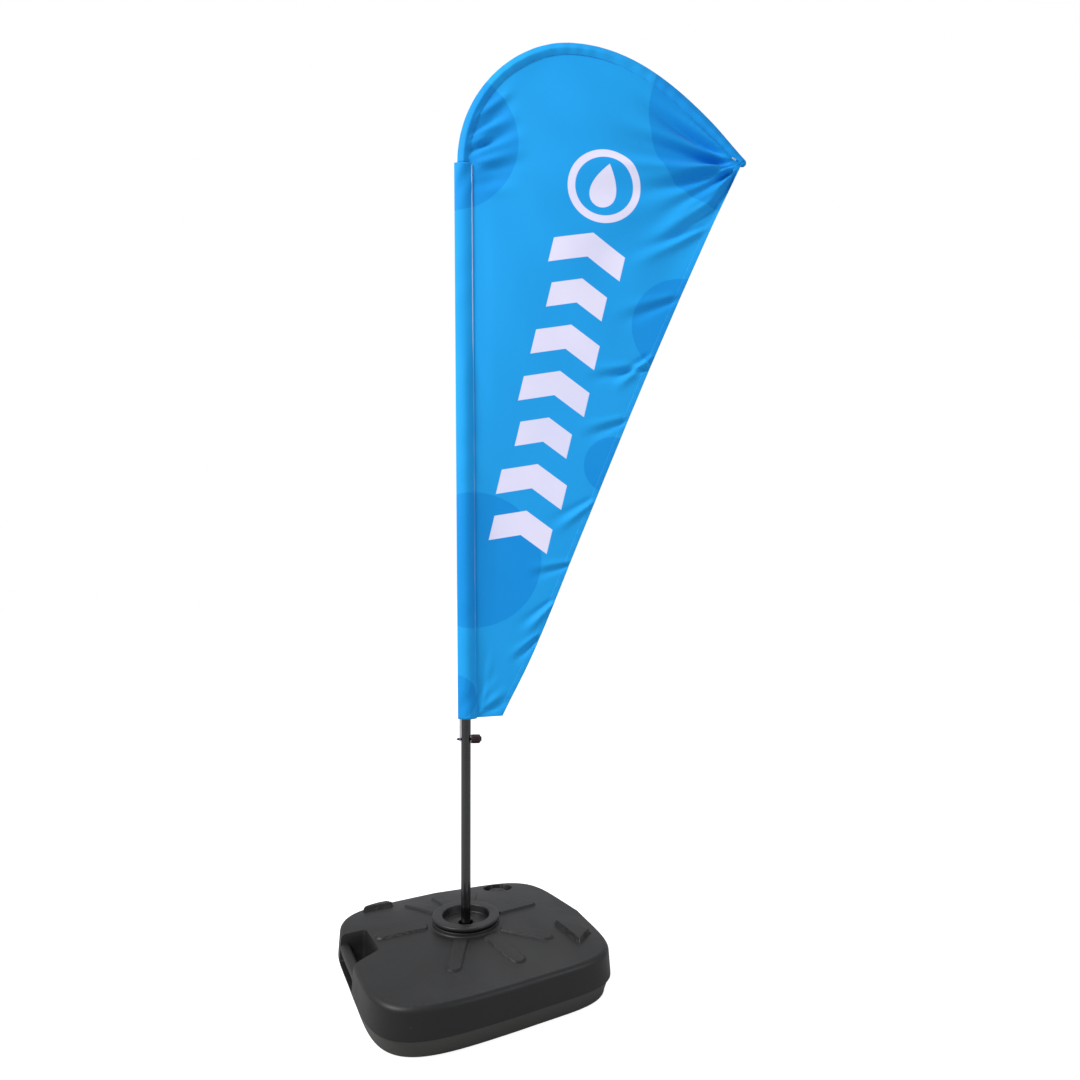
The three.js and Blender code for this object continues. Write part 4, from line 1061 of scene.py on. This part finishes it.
# The pocket's doubled end, folded over the rod's cap and pressed flat.
tip_along, tip_right = arch_along[-1], arch_right[-1]
tip_steps = np.array([0, 2, 4, 6, 8, 8.9])[:, None]
tip_thick = np.array([6.4, 6.2, 5.6, 4.4, 2.4, 0.3])[:, None]
tip_half = np.array([9.4, 9.0, 8.2, 6.8, 4.6, 2.2])[:, None]
tip_x = TIP[0] + tip_along[0] * (tip_steps + 0.3) + tip_right[0] * tip_half * np.cos(turn)
tip_z = TIP[1] + tip_along[1] * (tip_steps + 0.3) + tip_right[1] * tip_half * np.cos(turn)
tip_y = tip_thick * pocket_bulge(turn, 2.4, 0.7)
tip_points = np.stack([tip_x, tip_y, tip_z], -1)
tip_faces = grid_faces(len(tip_steps), TUBE_AROUND, True) + end_faces(len(tip_steps), TUBE_AROUND)
tip_pocket = mesh_piece("tip_fold", in_sail_plane(tip_points * MM), tip_faces)
tip_pocket.data.materials.append(cloth_finish)
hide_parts("tip_pocket")
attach(tip_pocket, "flag")


# ---- Hems ----------------------------------------------------------------------------------------
# The leech and the foot are folded over twice and stitched, which leaves a thicker band that
# puckers a little at each stitch.
HEM_AROUND = 20
HEM_WIDTH, FOOT_HEM_WIDTH = 11, 14
HEM_HALF = 0.85


def hem(name, line, inwards, width, half, pucker):
    """A band along an edge: a flat rounded section carried along it, a width in from the edge,
    following the cloth and rippling with its stitches."""
    count = len(line)
    turn = around(HEM_AROUND)[None, :]
    depth = width * (0.5 - 0.5 * signed_power(np.cos(turn), 0.8))
    x = line[:, 0:1] + inwards[:, 0:1] * depth
    z = line[:, 1:2] + inwards[:, 1:2] * depth
    thick = half * signed_power(np.sin(turn), 0.45)
    length = np.arange(count)[:, None] * np.linalg.norm(line[1] - line[0])
    wave = pucker * np.sin(length / 4.4 + np.sin(length / 23)) * (0.4 + 0.6 * (depth < width / 2))
    y = cloth_offset(x, z) + thick + wave
    points = np.stack([x, y, z], -1)
    faces = grid_faces(count, HEM_AROUND, True) + end_faces(count, HEM_AROUND)
    piece = mesh_piece(name, in_sail_plane(points * MM), faces)
    piece.data.materials.append(cloth_finish)
    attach(piece, "flag")
    return piece


leech_line = evenly(leech, 700)
_, leech_right = directions_of(leech_line)
leech_hem = hem("leech_band", leech_line, -leech_right, HEM_WIDTH, HEM_HALF, 0.28)
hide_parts("leech_hem")
FOOT_STEPS = 60
foot_left = (sleeve_middle(FOOT_Z) + STRAIGHT_HALF - 1, FOOT_Z + 1.7)
foot_line = evenly(np.array([foot_left, FOOT_RIGHT]), FOOT_STEPS)
foot_up = np.tile([[0.0, 1.0]], (FOOT_STEPS, 1))
foot_hem = hem("foot_band", foot_line, foot_up, FOOT_HEM_WIDTH, HEM_HALF, 0.25)
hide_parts("foot_hem")


# ---- Stitching -----------------------------------------------------------------------------------
# White zigzag along the straight sleeve on both faces, blue lockstitch along the arch and the hems,
# and a white bar tack that closes the pocket at the tip.
def thread_paint(name, color):
    """Polyester sewing thread with a twist along it."""
    paint = Paint(name, Sheen_Weight=0.3)
    where, _ = paint.place()
    twist = paint.noise(where, 2600, 1)
    dark = tuple(0.72 * part for part in color)
    mixed = paint.blend(twist.step(0.35, 0.65), dark, color)
    texture = paint.bump(twist, 0.4, 0.0002)
    return paint.finish(Base_Color=mixed, Roughness=twist * 0.2 + 0.5, Normal=texture)


white_thread = thread_paint("white_thread", (0.78, 0.78, 0.90))
blue_thread = thread_paint("blue_thread", (0.006, 0.24, 0.70))


THREAD_SIDES = 6
SEAM_THREAD_R, HEM_THREAD_R, TACK_THREAD_R = 0.42, 0.25, 0.5
STITCH = 3.2


def thread(name, path, radius, material):
    """A round thread carried along a path of points in the sail's plane, in mm."""
    path = np.asarray(path, float)
    along = unit(np.gradient(path, axis=0))
    side = unit(np.cross(along, [0, 1, 0]))
    over = np.cross(side, along)
    turn = around(THREAD_SIDES)[None, :, None]
    points = path[:, None] + radius * (np.cos(turn) * side[:, None] + np.sin(turn) * over[:, None])
    count = len(path)
    faces = grid_faces(count, THREAD_SIDES, True) + end_faces(count, THREAD_SIDES)
    piece = mesh_piece(name, in_sail_plane(points * MM), faces)
    piece.data.materials.append(material)
    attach(piece, "flag")
    return piece


zig_z = np.arange(FOOT_Z + 3, STRAIGHT_TOP_Z - 2, 1.0)
zig = np.abs((zig_z / 4) % 1 - 0.5) * 4 - 1
zig_x = sleeve_middle(zig_z) + STRAIGHT_HALF - 2.6 + 0.9 * zig
seam_y = 2.15 + 0.1 * np.cos(zig_z * math.pi / 2)
for side, face in ((-1, "front"), (1, "back")):
    seam = np.stack([zig_x, side * seam_y, zig_z], 1)
    thread("sleeve_stitch_" + face, seam, SEAM_THREAD_R, white_thread)


def running_stitch(name, line, inwards, depth, face, height, material):
    """A lockstitch seen from one face: the thread dips into the cloth between its stitches."""
    at = line + inwards * depth
    length = np.arange(len(at)) * np.linalg.norm(at[1] - at[0])
    dip = 0.35 * np.cos(2 * math.pi * length / STITCH)
    y = cloth_offset(at[:, 0], at[:, 1]) + face * (height + dip)
    return thread(name, np.stack([at[:, 0], y, at[:, 1]], 1), HEM_THREAD_R, material)


leech_fine = evenly(leech, 1700)
_, leech_fine_right = directions_of(leech_fine)
ARCH_FINE = 1100
arch_fine = evenly(arch, ARCH_FINE)[8:-12]
_, arch_fine_right = directions_of(arch_fine)
arch_fine_share = np.linspace(0, 1, ARCH_FINE)[8:-12]
arch_fine_half = np.interp(arch_fine_share, arch_share[:, 0], arch_half[:, 0])[:, None]
for side, face in ((-1, "front"), (1, "back")):
    running_stitch("leech_stitch_" + face, leech_fine, -leech_fine_right, 9.4, side, 0.62, blue_thread)
    at = arch_fine + arch_fine_right * (arch_fine_half - 1.6)
    length = np.arange(len(at)) * 0.76
    y = side * (1.35 + 0.3 * np.cos(2 * math.pi * length / STITCH))
    thread("arch_stitch_" + face, np.stack([at[:, 0], y, at[:, 1]], 1), HEM_THREAD_R, blue_thread)

TACK = np.array([567, 1713])
TACK_POINTS = 130
tack_steps = np.linspace(0, 1, TACK_POINTS)
tack_turn = math.radians(-28)
tack_across = 4.2 * (2 * tack_steps - 1)
tack_zig = 1.7 * (2 * np.abs((tack_steps * 15) % 1 - 0.5) * 2 - 1)
tack_x = TACK[0] + tack_across * math.cos(tack_turn) - tack_zig * math.sin(tack_turn)
tack_z = TACK[1] + tack_across * math.sin(tack_turn) + tack_zig * math.cos(tack_turn)
for side, face in ((-1, "front"), (1, "back")):
    y = np.full(TACK_POINTS, side * 6.2)
    thread("tip_tack_" + face, np.stack([tack_x, y, tack_z], 1), TACK_THREAD_R, white_thread)

# ---- Elastic, pin and knob -----------------------------------------------------------------------
# A braided elastic sewn into the sleeve's mouth hooks under a steel pin through the pole, and the
# pin carries a ribbed plastic knob at its other end.
ANCHOR_Z = 492
ELASTIC_X = -12
hook_turn = math.pi + math.pi * np.arange(7) / 6
hook = np.stack([np.full(7, ELASTIC_X), 4 * np.cos(hook_turn), ANCHOR_Z + 4 * np.sin(hook_turn)], 1)
elastic_points = [(ELASTIC_X, -2.2, FOOT_Z + 12), (ELASTIC_X, -4.4, ANCHOR_Z + 14), *hook]
elastic_points += [(ELASTIC_X, 4.4, ANCHOR_Z + 14), (ELASTIC_X, 2.2, FOOT_Z + 12)]
ELASTIC_STEPS, ELASTIC_SIDES = 150, 16
elastic_path = evenly(smooth_line(elastic_points, 12), ELASTIC_STEPS)
elastic_along = unit(np.gradient(elastic_path, axis=0))
elastic_side = unit(np.cross(elastic_along, [1, 0, 0]))
turn = around(ELASTIC_SIDES)
step = np.arange(ELASTIC_STEPS)[:, None]
braid = 1.12 + 0.07 * np.cos(4 * turn[None, :] + step * 0.8) * np.cos(4 * turn[None, :] - step * 0.8)
spokes = np.cos(turn)[None, :, None] * np.array([1.0, 0, 0])
spokes = spokes + np.sin(turn)[None, :, None] * elastic_side[:, None]
elastic_tube = elastic_path[:, None] + braid[..., None] * spokes
elastic_faces = grid_faces(ELASTIC_STEPS, ELASTIC_SIDES, True) + end_faces(ELASTIC_STEPS, ELASTIC_SIDES)
elastic = mesh_piece("elastic", in_sail_plane(elastic_tube * MM), elastic_faces)
elastic.data.materials.append(thread_paint("elastic_finish", (0.20, 0.19, 0.30)))
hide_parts("elastic_loop")
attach(elastic, "flag")


def lying_along_pin(name, outline, sides, flutes=0, flute_depth=0.0):
    """A profile of [radius, place] points turned about the pin's axis, in mm, with flutes in it
    where the third number of a point is 1."""
    outline = np.array(outline, float)
    turn = around(sides)
    wave = (0.5 + 0.5 * np.cos(flutes * turn)) ** 3 if flutes else np.zeros(sides)
    fluted = outline[:, 2:3] if outline.shape[1] > 2 else np.zeros((len(outline), 1))
    radius = outline[:, 0:1] - flute_depth * fluted * wave
    x = np.broadcast_to(outline[:, 1:2], radius.shape)
    points = np.stack([x, -radius * np.sin(turn), ANCHOR_Z + radius * np.cos(turn)], -1)
    faces = grid_faces(len(outline), sides, True) + end_faces(len(outline), sides)
    faces = [face[::-1] for face in faces]
    piece = mesh_piece(name, in_sail_plane(points * MM), faces)
    piece.data.set_sharp_from_angle(angle=math.radians(45))
    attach(piece, "anchor")
    return piece


pin_outline = [
    [0.05, -20], [0.5, -19.7], [2.3, -16.4], [2.5, -15.6], [2.5, 21.2], [2.3, 21.3], [0.05, 21.3],
]
pin = lying_along_pin("pin", pin_outline, 40)
pin_finish = moulded_plastic("pin_finish", (0.02, 0.005, 0.007), (0.05, 0.02, 0.024), 0.35, 0.1)
pin.data.materials.append(pin_finish)
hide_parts("cross_pin")
knob_outline = [
    [2.9, 21.5, 0], [2.9, 10.4, 0], [7.6, 10.3, 0], [8.6, 10.6, 0], [9.2, 11.4, 0], [9.2, 12.4, 0],
    [8.8, 12.9, 0], [9.0, 13.6, 1], [9.2, 14.2, 1], [9.2, 26.2, 1], [9.0, 27.2, 1], [8.4, 28.2, 0.7],
    [7.4, 29.2, 0.2], [5.6, 29.9, 0], [4.9, 30.4, 0], [4.7, 31.6, 0], [4.2, 32.1, 0], [0.05, 32.3, 0],
]
knob = lying_along_pin("knob", knob_outline, 96, flutes=12, flute_depth=0.9)
knob_finish = moulded_plastic("knob_finish", (0.016, 0.004, 0.006), (0.035, 0.016, 0.02), 0.4, 0.2)
knob.data.materials.append(knob_finish)
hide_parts("tension_knob")
